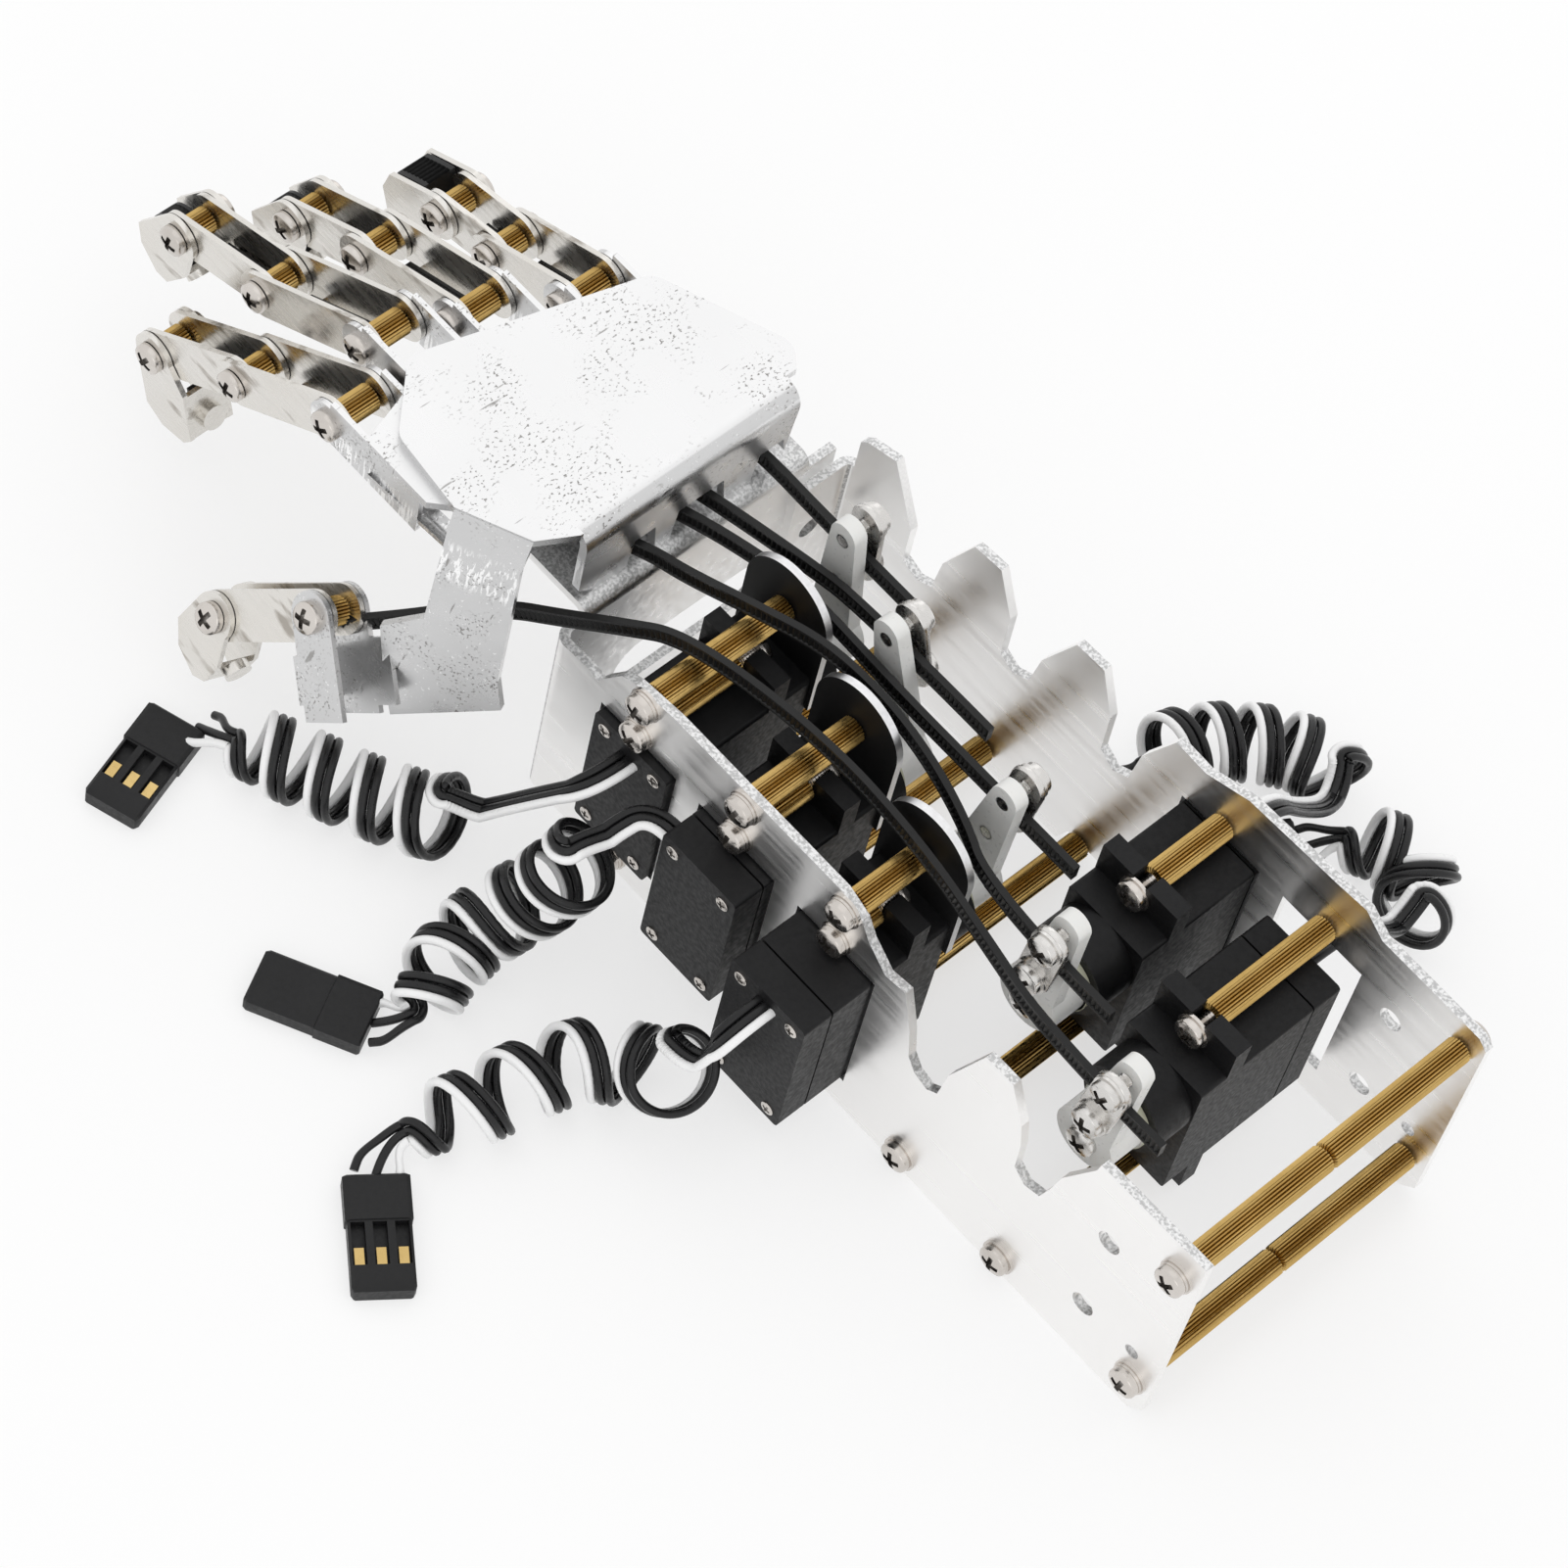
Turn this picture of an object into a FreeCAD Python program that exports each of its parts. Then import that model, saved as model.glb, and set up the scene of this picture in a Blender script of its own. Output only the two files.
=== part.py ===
import FreeCAD, Part
import math
import os

os.makedirs("parts", exist_ok=True)

V = FreeCAD.Vector
UP = V(0, 0, 1)

# Frame plates. X runs to the finger tips, Y to the near side, Z up from the plates' lower edges.
inner_width = 44.0
sheet = 1.2
plate_length = 106.8
wall_height = 34.0
bend_inner = 0.8
bend_outer = bend_inner + sheet
near_face = inner_width / 2 + sheet
far_face = -near_face

# Servo row
servo_pitch = 16.8
first_servo_x = 91.2
servo_mid_z = 17.1
ear_screw_pitch = 27.8
strap_screw_rise = 6.0
case_width = 12.2
case_height = 22.8
case_back = 15.9
cover_depth = 4.2
cover_gap = 0.25
ear_thick = 2.5
ear_reach = 32.3
ear_slot = 2.3
case_top = 6.6
boss_top = 12.0
boss_r = 5.9
second_boss_r = 2.9
axis_drop = 5.9
window_gap = 0.35
ear_plane = (8.4, 12.9, 17.6, -10.2, -3.2)

# Horns
wheel_r = 4.6
wheel_length = 0.9
hub_r = 4.3
hub_length = 4.9
wheel_gap = 0.05
arm_thick = 2.0
arm_reach = 18.6
arm_tip_r = 2.0
arm_root_r = 3.4
arm_hole_r = 0.8
clamp_gap = 1.7
clamp_thick = 0.9
pad_r = 2.5
clamp_screw_upper = 17.9
clamp_screw_lower = 10.3
arm_lean = (4.0, 18.0, -6.0, -5.0, -7.0)

# Fasteners
standoff_r = 1.75
shank_r = 0.95
pan_r = 2.0
pan_height = 1.4
washer_r = 2.5
washer_thick = 0.4
cover_screw_r = 1.0

# Palm
palm_top = 47.0
palm_thick = 1.2
flange_x = 107.6
flange_bend = 3.0
side_lean = 16.0
mount_thick = 1.2

# Fingers: hinge points (x, z) in each finger's own upright plane
finger_plane = {"a": 25.8, "b": 16.1, "c": 5.6, "d": -6.4}
finger_hinges = {
    "a": ((139.7, 41.6), (156.2, 29.4), (170.4, 18.4)),
    "b": ((145.6, 41.6), (163.7, 30.5), (178.3, 25.4)),
    "c": ((141.8, 41.7), (158.6, 34.9), (170.3, 28.5)),
    "d": ((135.9, 41.6), (149.0, 35.9), (158.1, 33.8)),
}
tip_angle = {"a": -107.0, "b": -55.0, "c": -58.0, "d": -27.0}
tip_length = {"a": 12.0, "b": 10.0, "c": 10.0, "d": 10.5}
tip_flare = 1.9
link_sheet = 0.7
side_gap = 0.1
middle_half = 2.5
outer_half = middle_half + side_gap + link_sheet
lug_half = outer_half + side_gap + link_sheet
link_r = 3.1
hole_gap = 0.06
spacer_gap = 0.05
head_gap = 0.1
spacer_r = 1.8

# Thumb: its hinge axis and link direction are both turned out of the main planes
thumb_base = V(127.99, 37.58, 23.42)
thumb_axis = V(-0.098, -0.904, -0.417)
thumb_link = V(0.7015, 0.2343, -0.6731)
thumb_length = 16.8
thumb_tip_length = 7.8
thumb_bracket_length = 12.4
thumb_tab_reach = 3.0

# Pull strips
strip_height = 2.7
strip_thick = 1.1

# Leads and their connectors
ribbon_r = 2.0
coil_r = 5.4
connector_length = 14.6
connector_width = 7.8
connector_thick = 2.7


def box(x0, x1, y0, y1, z0, z1):
    """A block between two corners."""
    return Part.makeBox(x1 - x0, y1 - y0, z1 - z0, V(x0, y0, z0))


def rod(start, direction, r, length):
    """A round bar from a point along a direction."""
    return Part.makeCylinder(r, length, start, direction)


def rod_y(x, z, r, y0, y1):
    """A round bar along Y between two y values."""
    return rod(V(x, min(y0, y1), z), V(0, 1, 0), r, abs(y1 - y0))


def panel(outline, y0, y1):
    """An (x, z) outline made solid between two y values."""
    points = [V(x, y0, z) for x, z in outline]
    face = Part.Face(Part.makePolygon(points + [points[0]]))
    return face.extrude(V(0, y1 - y0, 0))


def slab(outline, z0, z1):
    """An (x, y) outline made solid between two heights."""
    points = [V(x, y, z0) for x, y in outline]
    face = Part.Face(Part.makePolygon(points + [points[0]]))
    return face.extrude(V(0, 0, z1 - z0))


def round_upright(solid, radius, corners, reach=0.6):
    """Round the vertical edges that stand near the given (x, y) corners."""
    picked = []
    for edge in solid.Edges:
        a = edge.Vertexes[0].Point
        b = edge.Vertexes[-1].Point
        if abs(a.x - b.x) > 0.01 or abs(a.y - b.y) > 0.01:
            continue
        for x, y in corners:
            if abs(a.x - x) < reach and abs(a.y - y) < reach:
                picked.append(edge)
                break
    return solid.makeFillet(radius, picked)


def fuse(shapes):
    """All shapes joined into one solid."""
    joined = shapes[0]
    for other in shapes[1:]:
        joined = joined.fuse(other)
    return joined.removeSplitter()


def group(shapes):
    """Separate solids kept together in one node."""
    return Part.makeCompound(shapes)


def pan_screw(tip, direction, shank, head=pan_r):
    """A pan head screw: the shank starts at tip and runs along direction to the head."""
    direction = V(direction).normalize()
    seat = tip + direction * shank
    body = rod(tip, direction, shank_r, shank + 0.2)
    cap = rod(seat, direction, head, pan_height * 0.6)
    dome = Part.makeSphere(head * 1.35, seat + direction * (pan_height - head * 1.35))
    dome = dome.common(rod(seat + direction * 0.2, direction, head, pan_height))
    return fuse([body, cap, dome])


parts = {}
servo_x = [first_servo_x - servo_pitch * i for i in range(5)]
upper_screw_z = servo_mid_z + ear_screw_pitch / 2
lower_screw_z = servo_mid_z - ear_screw_pitch / 2
strap_screw_z = upper_screw_z + strap_screw_rise
case_low = servo_mid_z - case_height / 2
case_high = servo_mid_z + case_height / 2
axis_z = case_high - axis_drop

# Servos 1 to 3 sit on the near plate and point away from it; 4 and 5 sit on the far plate.
# Only the first three have a strap over their top.
faces = (-1, -1, -1, 1, 1)
strapped = (0, 1, 2)

# Outlines of the two side plates, (x, z), read from the photo
near_outline = [
    (2.0, 0.0), (104.8, 0.0), (104.8, 32.0), (100.7, 32.3), (98.8, 31.9), (98.0, 33.5),
    (95.6, 37.3), (93.3, 38.4), (86.8, 39.3), (58.9, 39.4), (55.3, 37.8), (53.6, 35.3),
    (50.2, 32.4), (47.0, 33.0), (44.9, 26.9), (44.0, 22.4), (42.6, 20.5), (40.4, 19.8),
    (38.9, 21.0), (38.3, 26.3), (34.6, 36.4), (30.2, 36.4), (27.4, 30.7), (26.6, 27.0),
    (26.4, 22.4), (24.4, 20.9), (22.2, 21.6), (21.2, 25.0), (20.4, 29.0), (16.8, 36.6),
    (16.5, 38.3), (0.0, 38.6), (0.0, 2.0),
]
far_outline = [
    (19.0, 0.0), (17.0, 0.0), (2.0, 0.0), (0.0, 2.0), (0.0, 36.2), (1.4, 37.4),
    (17.0, 37.6), (20.3, 40.0), (24.8, 39.6), (39.0, 38.9), (45.5, 36.3), (50.4, 36.6),
    (54.0, 28.7), (54.7, 22.8), (57.0, 21.4), (59.4, 23.0), (59.6, 29.8), (62.5, 36.6),
    (67.0, 36.4), (70.8, 28.0), (71.6, 22.4), (74.0, 21.0), (76.4, 22.2), (76.6, 29.6),
    (79.8, 36.2), (84.2, 35.8), (87.8, 27.6), (88.4, 21.6), (90.8, 20.4), (93.3, 21.4),
    (93.4, 27.7), (98.0, 36.9), (102.5, 35.4), (104.8, 33.0), (104.8, 0.0), (61.0, 0.0),
    (59.7, 3.2), (20.2, 3.2),
]
spare_holes = ((12.0, 26.2), (12.0, 10.4))
small_holes = ((4.1, 11.0), (22.6, 33.6))
spare_hole_r = 1.6
small_hole_r = 1.0
window_low = case_low - window_gap
window_high = case_high + window_gap
window_half = case_width / 2 + window_gap


def window(x, y0, y1):
    """The cut that a servo body passes through."""
    return box(x - window_half, x + window_half, y0 - 1, y1 + 1, window_low, window_high)


def plate_holes(y0, y1, mine):
    """Round holes of one side plate; mine lists the servos that stand on it."""
    cuts = []
    for x, z in spare_holes:
        cuts.append(rod_y(x, z, spare_hole_r, y0 - 1, y1 + 1))
    cuts.append(rod_y(small_holes[0][0], small_holes[0][1], small_hole_r, y0 - 1, y1 + 1))
    for z in (6.5, 33.0):
        cuts.append(rod_y(2.9, z, shank_r + 0.02, y0 - 1, y1 + 1))
    for i, x in enumerate(servo_x):
        cuts.append(rod_y(x, lower_screw_z, shank_r + 0.02, y0 - 1, y1 + 1))
        if i in mine:
            cuts.append(rod_y(x, upper_screw_z, shank_r + 0.02, y0 - 1, y1 + 1))
        if i in mine and i in strapped:
            cuts.append(rod_y(x, strap_screw_z, shank_r + 0.02, y0 - 1, y1 + 1))
    return cuts


# Near plate: side, bend, front wall with its oblong opening, and the tongue at its top
wall_x0 = plate_length - sheet
side = panel(near_outline, inner_width / 2, near_face)
corner_x = wall_x0 - bend_inner
corner_y = inner_width / 2 - bend_inner
corner = Part.makeCylinder(bend_outer, 32.0, V(corner_x, corner_y, 0), UP, 90)
corner = corner.cut(Part.makeCylinder(bend_inner, 32.0, V(corner_x, corner_y, 0), UP, 90))
wall_far_y = -20.4
tongue_bend_z = wall_height - bend_outer
wall = box(wall_x0, plate_length, wall_far_y, corner_y, 0, tongue_bend_z)
wall_slot_low = 8.4
wall_slot_high = 17.0
wall_slot_half = 12.0
slot_r = (wall_slot_high - wall_slot_low) / 2
slot_z = (wall_slot_high + wall_slot_low) / 2
slot = box(wall_x0 - 1, plate_length + 1, -wall_slot_half + slot_r, wall_slot_half - slot_r,
           wall_slot_low, wall_slot_high)
for end_y in (-wall_slot_half + slot_r, wall_slot_half - slot_r):
    slot = slot.fuse(rod(V(wall_x0 - 1, end_y, slot_z), V(1, 0, 0), slot_r, sheet + 2))
tongue_y0 = -16.0
tongue_y1 = 19.0
tongue_x = plate_length + bend_inner
tongue_tip = 122.0
curl = rod(V(tongue_x, tongue_y0, tongue_bend_z), V(0, 1, 0), bend_outer, tongue_y1 - tongue_y0)
curl = curl.cut(rod(V(tongue_x, tongue_y0, tongue_bend_z), V(0, 1, 0), bend_inner, tongue_y1 - tongue_y0))
curl = curl.common(box(wall_x0, tongue_x, tongue_y0, tongue_y1, tongue_bend_z, wall_height))
tongue = box(tongue_x, tongue_tip, tongue_y0, tongue_y1, wall_height - sheet, wall_height)
near_cuts = plate_holes(inner_width / 2, near_face, (0, 1, 2))
for i in (0, 1, 2):
    near_cuts.append(window(servo_x[i], inner_width / 2, near_face))
plate_near = fuse([side, corner, wall, curl, tongue])
for cut in near_cuts + [slot]:
    plate_near = plate_near.cut(cut)
parts["plate_near"] = plate_near

# Far plate with its bent tab behind the wall
far_side = panel(far_outline, far_face, far_face + sheet)
tab_x0 = wall_x0 - sheet
tab_corner_x = tab_x0 - bend_inner
tab_corner_y = -corner_y
far_corner = Part.makeCylinder(bend_outer, 26.0, V(tab_corner_x, tab_corner_y, 3.0), UP, 90)
far_corner = far_corner.cut(Part.makeCylinder(bend_inner, 26.0, V(tab_corner_x, tab_corner_y, 3.0), UP, 90))
far_corner.rotate(V(tab_corner_x, tab_corner_y, 0), UP, -90)
tab_reach_y = -13.6
tab = box(tab_x0, wall_x0, tab_corner_y, tab_reach_y, 3.0, 29.0)
tab_hole_z = 19.1
tab_hole_y = -17.4
tab = tab.cut(rod(V(tab_x0 - 1, tab_hole_y, tab_hole_z), V(1, 0, 0), 1.6, sheet + 2))
far_side = far_side.cut(box(tab_corner_x, 110, far_face - 1, far_face + sheet + 1, -1, 60))
plate_far = fuse([far_side, far_corner, tab])
far_cuts = plate_holes(far_face, far_face + sheet, (3, 4))
for i in (3, 4):
    far_cuts.append(window(servo_x[i], far_face, far_face + sheet))
for cut in far_cuts:
    plate_far = plate_far.cut(cut)
parts["plate_far"] = plate_far

# Servo cases, covers, cover screws, straps and standoffs
covers = []
cover_screws = []
straps = []
servo_standoffs = []
frame_screws = []
strap_thick = 1.0
strap_gap = 0.1
strap_r = 6.7
strap_hole_r = boss_r + strap_gap
foot_inset = 1.9
inner_face = inner_width / 2


def along(x, z, r, a, b):
    """A round bar along Y between two y values, whichever comes first."""
    return rod_y(x, z, r, a, b)


def slice_y(x0, x1, a, b, z0, z1):
    """A block between two y values, whichever comes first."""
    return box(x0, x1, min(a, b), max(a, b), z0, z1)


for i, x in enumerate(servo_x):
    s = faces[i]
    ear = ear_plane[i]
    back = ear - s * case_back
    half = case_width / 2
    top = ear + s * case_top
    body = slice_y(x - half, x + half, back + s * (cover_depth + cover_gap), top, case_low, case_high)
    body = body.makeFillet(0.5, [e for e in body.Edges if abs(e.Length - abs(e.BoundBox.YLength)) < 0.01])
    ears = slice_y(x - half, x + half, ear, ear + s * ear_thick,
                   servo_mid_z - ear_reach / 2, servo_mid_z + ear_reach / 2)
    for sz in (-1, 1):
        slot_end = servo_mid_z + sz * (ear_reach / 2 + 1)
        hole_z = servo_mid_z + sz * ear_screw_pitch / 2
        ears = ears.cut(slice_y(x - ear_slot / 2, x + ear_slot / 2, ear - s, ear + s * (ear_thick + 1),
                                min(slot_end, hole_z), max(slot_end, hole_z)))
        ears = ears.cut(along(x, hole_z, ear_slot / 2, ear - s, ear + s * (ear_thick + 1)))
    boss = along(x, axis_z, boss_r, top - s * 0.5, ear + s * boss_top)
    lobe = along(x, axis_z - boss_r - 0.3, second_boss_r, top - s * 0.5, ear + s * (boss_top - 0.8))
    parts["servo_case_%d" % (i + 1)] = fuse([body, ears, boss, lobe])

    cover = slice_y(x - half, x + half, back, back + s * cover_depth, case_low, case_high)
    cover = cover.makeFillet(0.6, [e for e in cover.Edges if abs(e.Length - cover_depth) < 0.01])
    covers.append(cover)
    for sx in (-1, 1):
        for sz in (-1, 1):
            sx_pos = x + sx * (half - foot_inset)
            sz_pos = servo_mid_z + sz * (case_height / 2 - foot_inset)
            cover_screws.append(along(sx_pos, sz_pos, cover_screw_r, back, back - s * 0.35))

    wall_y = -s * inner_face
    servo_standoffs.append(along(x, upper_screw_z, standoff_r, wall_y, ear))
    servo_standoffs.append(along(x, lower_screw_z, standoff_r, wall_y, ear))
    tie_start = ear + s * (ear_thick + washer_thick)
    servo_standoffs.append(along(x, lower_screw_z, standoff_r, tie_start, -wall_y))
    for z in (upper_screw_z, lower_screw_z):
        frame_screws.append(pan_screw(V(x, wall_y, z), V(0, -s, 0), sheet))
    frame_screws.append(pan_screw(V(x, -wall_y, lower_screw_z), V(0, s, 0), sheet))
    ear_screw = pan_screw(V(x, ear, upper_screw_z), V(0, s, 0), ear_thick + washer_thick)
    ring = along(x, upper_screw_z, washer_r, ear + s * ear_thick, ear + s * (ear_thick + washer_thick))
    frame_screws.append(fuse([ear_screw, ring]))
    stud = along(x, lower_screw_z, shank_r, ear, tie_start)
    stud_ring = along(x, lower_screw_z, washer_r, ear + s * ear_thick, tie_start)
    frame_screws.append(fuse([stud, stud_ring]))
    if i not in strapped:
        continue

    # A strap lies on the case top, open round the boss, and reaches up to its own standoff
    strap_a = top
    strap_b = top + s * strap_thick
    strap = along(x, strap_screw_z, strap_r, strap_a, strap_b)
    strap = strap.common(slice_y(x - 20, x + 20, strap_a, strap_b, axis_z, 60))
    strap = strap.fuse(slice_y(x - strap_r, x + strap_r, strap_a, strap_b, axis_z, strap_screw_z))
    strap = strap.cut(along(x, axis_z, strap_hole_r, strap_a - s, strap_b + s))
    strap = strap.cut(slice_y(x - strap_hole_r + 1.2, x + strap_hole_r - 1.2, strap_a - s, strap_b + s,
                              axis_z - 1, axis_z + 1))
    strap = strap.cut(along(x, strap_screw_z, shank_r + 0.02, strap_a - s, strap_b + s))
    straps.append(strap.removeSplitter())

    servo_standoffs.append(along(x, strap_screw_z, standoff_r, wall_y, strap_a))
    frame_screws.append(pan_screw(V(x, wall_y, strap_screw_z), V(0, -s, 0), sheet))
    frame_screws.append(pan_screw(V(x, strap_a, strap_screw_z), V(0, s, 0), strap_thick))

parts["servo_back_covers"] = group(covers)
parts["servo_cover_screws"] = group(cover_screws)
parts["servo_straps"] = group(straps)
parts["servo_standoffs"] = group(servo_standoffs)

# Two rear cross rows, each of two standoffs end to end
cross = []
for z in (6.5, 33.0):
    cross.append(rod_y(2.9, z, standoff_r, -inner_face, 0))
    cross.append(rod_y(2.9, z, standoff_r, 0, inner_face))
    frame_screws.append(pan_screw(V(2.9, inner_face, z), V(0, 1, 0), sheet))
    frame_screws.append(pan_screw(V(2.9, -inner_face, z), V(0, -1, 0), sheet))
parts["cross_standoffs"] = group(cross)
parts["frame_screws"] = group(frame_screws)

# Horns with their output wheels, and the strip clamps that ride on them
for i, x in enumerate(servo_x):
    s = faces[i]
    base = ear_plane[i] + s * (boss_top + wheel_gap)
    lean = math.radians(arm_lean[i])
    wheel = rod_y(x, axis_z, wheel_r, base, base + s * wheel_length)
    hub = rod_y(x, axis_z, hub_r, base + s * wheel_length, base + s * (wheel_length + hub_length))
    arm_b = base + s * (wheel_length + hub_length)
    arm_a = arm_b - s * arm_thick
    tip_x = x + arm_reach * math.sin(lean)
    tip_z = axis_z + arm_reach * math.cos(lean)
    side_x = math.cos(lean)
    side_z = -math.sin(lean)
    taper = [
        (x - arm_root_r * side_x, axis_z - arm_root_r * side_z),
        (x + arm_root_r * side_x, axis_z + arm_root_r * side_z),
        (tip_x + arm_tip_r * side_x, tip_z + arm_tip_r * side_z),
        (tip_x - arm_tip_r * side_x, tip_z - arm_tip_r * side_z),
    ]
    y0 = min(arm_a, arm_b)
    y1 = max(arm_a, arm_b)
    arm = fuse([panel(taper, y0, y1), rod_y(tip_x, tip_z, arm_tip_r, y0, y1), hub, wheel])
    screws = []
    for reach in (clamp_screw_upper, clamp_screw_lower):
        hx = x + reach * math.sin(lean)
        hz = axis_z + reach * math.cos(lean)
        arm = arm.cut(rod_y(hx, hz, arm_hole_r, y0 - 1, y1 + 1))
        through = arm_thick + clamp_gap + clamp_thick
        screws.append((hx, hz, through))
    parts["horn_%d" % (i + 1)] = arm

    plate_a = arm_b + s * clamp_gap
    plate_b = plate_a + s * clamp_thick
    mid_x = (screws[0][0] + screws[1][0]) / 2
    mid_z = (screws[0][1] + screws[1][1]) / 2
    cx0, cz0 = screws[0][0], screws[0][1]
    cx1, cz1 = screws[1][0], screws[1][1]
    quad = [
        (cx0 - pad_r * side_x, cz0 - pad_r * side_z),
        (cx0 + pad_r * side_x, cz0 + pad_r * side_z),
        (cx1 + pad_r * side_x, cz1 + pad_r * side_z),
        (cx1 - pad_r * side_x, cz1 - pad_r * side_z),
    ]
    py0 = min(plate_a, plate_b)
    py1 = max(plate_a, plate_b)
    clamp = fuse([panel(quad, py0, py1), rod_y(cx0, cz0, pad_r, py0, py1), rod_y(cx1, cz1, pad_r, py0, py1)])
    pieces = [clamp]
    for hx, hz, through in screws:
        shank = rod_y(hx, hz, arm_hole_r, arm_a, plate_a)
        cap = pan_screw(V(hx, plate_b, hz), V(0, s, 0), 0.0)
        cap = cap.cut(panel([(hx - 3, hz - 3), (hx + 3, hz - 3), (hx + 3, hz + 3), (hx - 3, hz + 3)],
                            py0 - 4 if s > 0 else py0, py1 if s > 0 else py1 + 4))
        pieces.append(shank)
        pieces.append(cap)
    pieces.append(pan_screw(V(x, arm_b, axis_z), V(0, s, 0), 0.0).cut(
        slice_y(x - 3, x + 3, arm_b, arm_b - s * 3, axis_z - 3, axis_z + 3)))
    parts["horn_clamp_%d" % (i + 1)] = group(pieces)

# Palm sheet: top, rear flange with five tips, and the leaning side flange
palm_outline = [
    (138.9, 19.2), (131.2, 27.2), (120.1, 28.4), (111.2, 24.2), (108.6, 19.4),
    (108.6, -14.0), (113.4, -17.9), (130.6, -11.0),
]
palm = slab(palm_outline, palm_top - palm_thick, palm_top)
palm = round_upright(palm, 3.0, [palm_outline[0], palm_outline[1], palm_outline[6], palm_outline[7]])
bend_z = palm_top - flange_bend
bend_x = flange_x + flange_bend
roll = rod(V(bend_x, -14.0, bend_z), V(0, 1, 0), flange_bend, 33.0)
roll = roll.cut(rod(V(bend_x, -14.0, bend_z), V(0, 1, 0), flange_bend - palm_thick, 33.0))
roll = roll.common(box(flange_x, bend_x, -14.0, 19.0, bend_z, palm_top))
palm = palm.cut(box(100, bend_x, -30, 19.0, 0, palm_top + 1))
flange_outline = [
    (19.0, bend_z), (19.0, 36.0), (16.5, wall_height), (11.4, wall_height), (10.8, 38.8),
    (7.6, 38.8), (7.0, wall_height), (4.6, wall_height), (4.0, 38.8), (-3.0, 38.8),
    (-3.8, wall_height), (-8.0, wall_height), (-8.7, 38.8), (-12.4, 38.8), (-13.0, 36.0), (-14.0, bend_z),
]
points = [V(flange_x, y, z) for y, z in flange_outline]
flange = Part.Face(Part.makePolygon(points + [points[0]])).extrude(V(palm_thick, 0, 0))
edge_a = V(111.2, 24.2, palm_top)
edge_b = V(120.1, 28.4, palm_top)
run = (edge_b - edge_a).normalize()
out = V(-run.y, run.x, 0)
lean = math.radians(side_lean)
down = out * math.sin(lean) - UP * math.cos(lean)
side_outline = [
    (0.0, 0.3), (9.8, 0.3), (9.9, 3.6), (9.8, 17.5), (14.5, 21.3), (12.3, 29.2),
    (10.6, 33.6), (-1.8, 26.0), (-0.5, 22.2), (0.5, 5.5),
]
side_normal = out * math.cos(lean) + UP * math.sin(lean)
points = [edge_a + run * s + down * t for s, t in side_outline]
side_flange = Part.Face(Part.makePolygon(points + [points[0]])).extrude(side_normal * -palm_thick)
palm = fuse([palm, roll, flange, side_flange])
parts["palm_sheet"] = palm

# Finger mount: a sheet close under the palm with four pairs of lugs
mount_top = palm_top - palm_thick
mount_low = mount_top - mount_thick
mount_outline = [(137.0, 18.6), (133.4, 29.9), (123.0, 29.9), (114.0, 21.0), (114.0, -12.0), (130.2, -10.5)]
finger_mount = [slab(mount_outline, mount_low, mount_top)]
lug_root = {"a": 124.0, "b": 130.0, "c": 126.5, "d": 122.0}
for name in "abcd":
    y = finger_plane[name]
    hx, hz = finger_hinges[name][0]
    for sy in (-1, 1):
        y0 = y + sy * lug_half
        y1 = y + sy * (lug_half - link_sheet)
        lug = slice_y(lug_root[name], hx, y0, y1, hz - link_r, mount_top - 0.2)
        lug = lug.fuse(rod_y(hx, hz, link_r, y0, y1))
        lug = lug.cut(rod_y(hx, hz, shank_r + 0.02, y0 - 1 * sy, y1 + 1 * sy))
        lug = lug.cut(rod_y(hx, hz, shank_r + 0.02, y - 9, y + 9))
        finger_mount.append(lug)
parts["finger_mount"] = fuse(finger_mount)


def channel(name, start, angle, length, half, web_from, web_to, end_r=link_r):
    """A folded link: two walls with round ends and a web along the palm side."""
    y = finger_plane[name]
    shapes = []
    for sy in (-1, 1):
        a = sy * half
        b = sy * (half - link_sheet)
        wall = slice_y(0, length, a, b, -link_r, link_r)
        wall = wall.fuse(rod_y(0, 0, link_r, a, b))
        wall = wall.fuse(rod_y(length, 0, end_r, a, b))
        shapes.append(wall)
    shapes.append(box(web_from, web_to, -half + 0.1, half - 0.1, -link_r, -link_r + link_sheet))
    solid = fuse(shapes)
    solid = solid.cut(rod_y(0, 0, shank_r + hole_gap, -9, 9))
    solid = solid.cut(rod_y(length, 0, shank_r + hole_gap, -9, 9))
    solid.rotate(V(0, 0, 0), V(0, 1, 0), -angle)
    solid.translate(V(start[0], y, start[1]))
    return solid


def tip_link(name, start, angle, length):
    """The last link: two flared walls with a slanted nose, a web and its strip screw."""
    y = finger_plane[name]
    low = -link_r - tip_flare
    shapes = []
    for sy in (-1, 1):
        a = min(sy * outer_half, sy * (outer_half - link_sheet))
        b = max(sy * outer_half, sy * (outer_half - link_sheet))
        nose = [(0, -link_r), (3.6, low), (length - 1.2, low), (length, low + 1.6), (length - 0.4, 0.6),
                (length - 2.6, link_r), (0, link_r)]
        shapes.append(panel(nose, a, b).fuse(rod_y(0, 0, link_r, a, b)))
    shapes.append(box(3.9, length - 1.3, -outer_half + 0.1, outer_half - 0.1, low, low + link_sheet))
    solid = fuse(shapes)
    solid = solid.cut(rod_y(0, 0, shank_r + hole_gap, -9, 9))
    solid = solid.fuse(rod(V(length - 3.6, 0, low + 0.1), V(0, 0, -1), 1.7, 1.2)).removeSplitter()
    solid.rotate(V(0, 0, 0), V(0, 1, 0), -angle)
    solid.translate(V(start[0], y, start[1]))
    return solid


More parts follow.
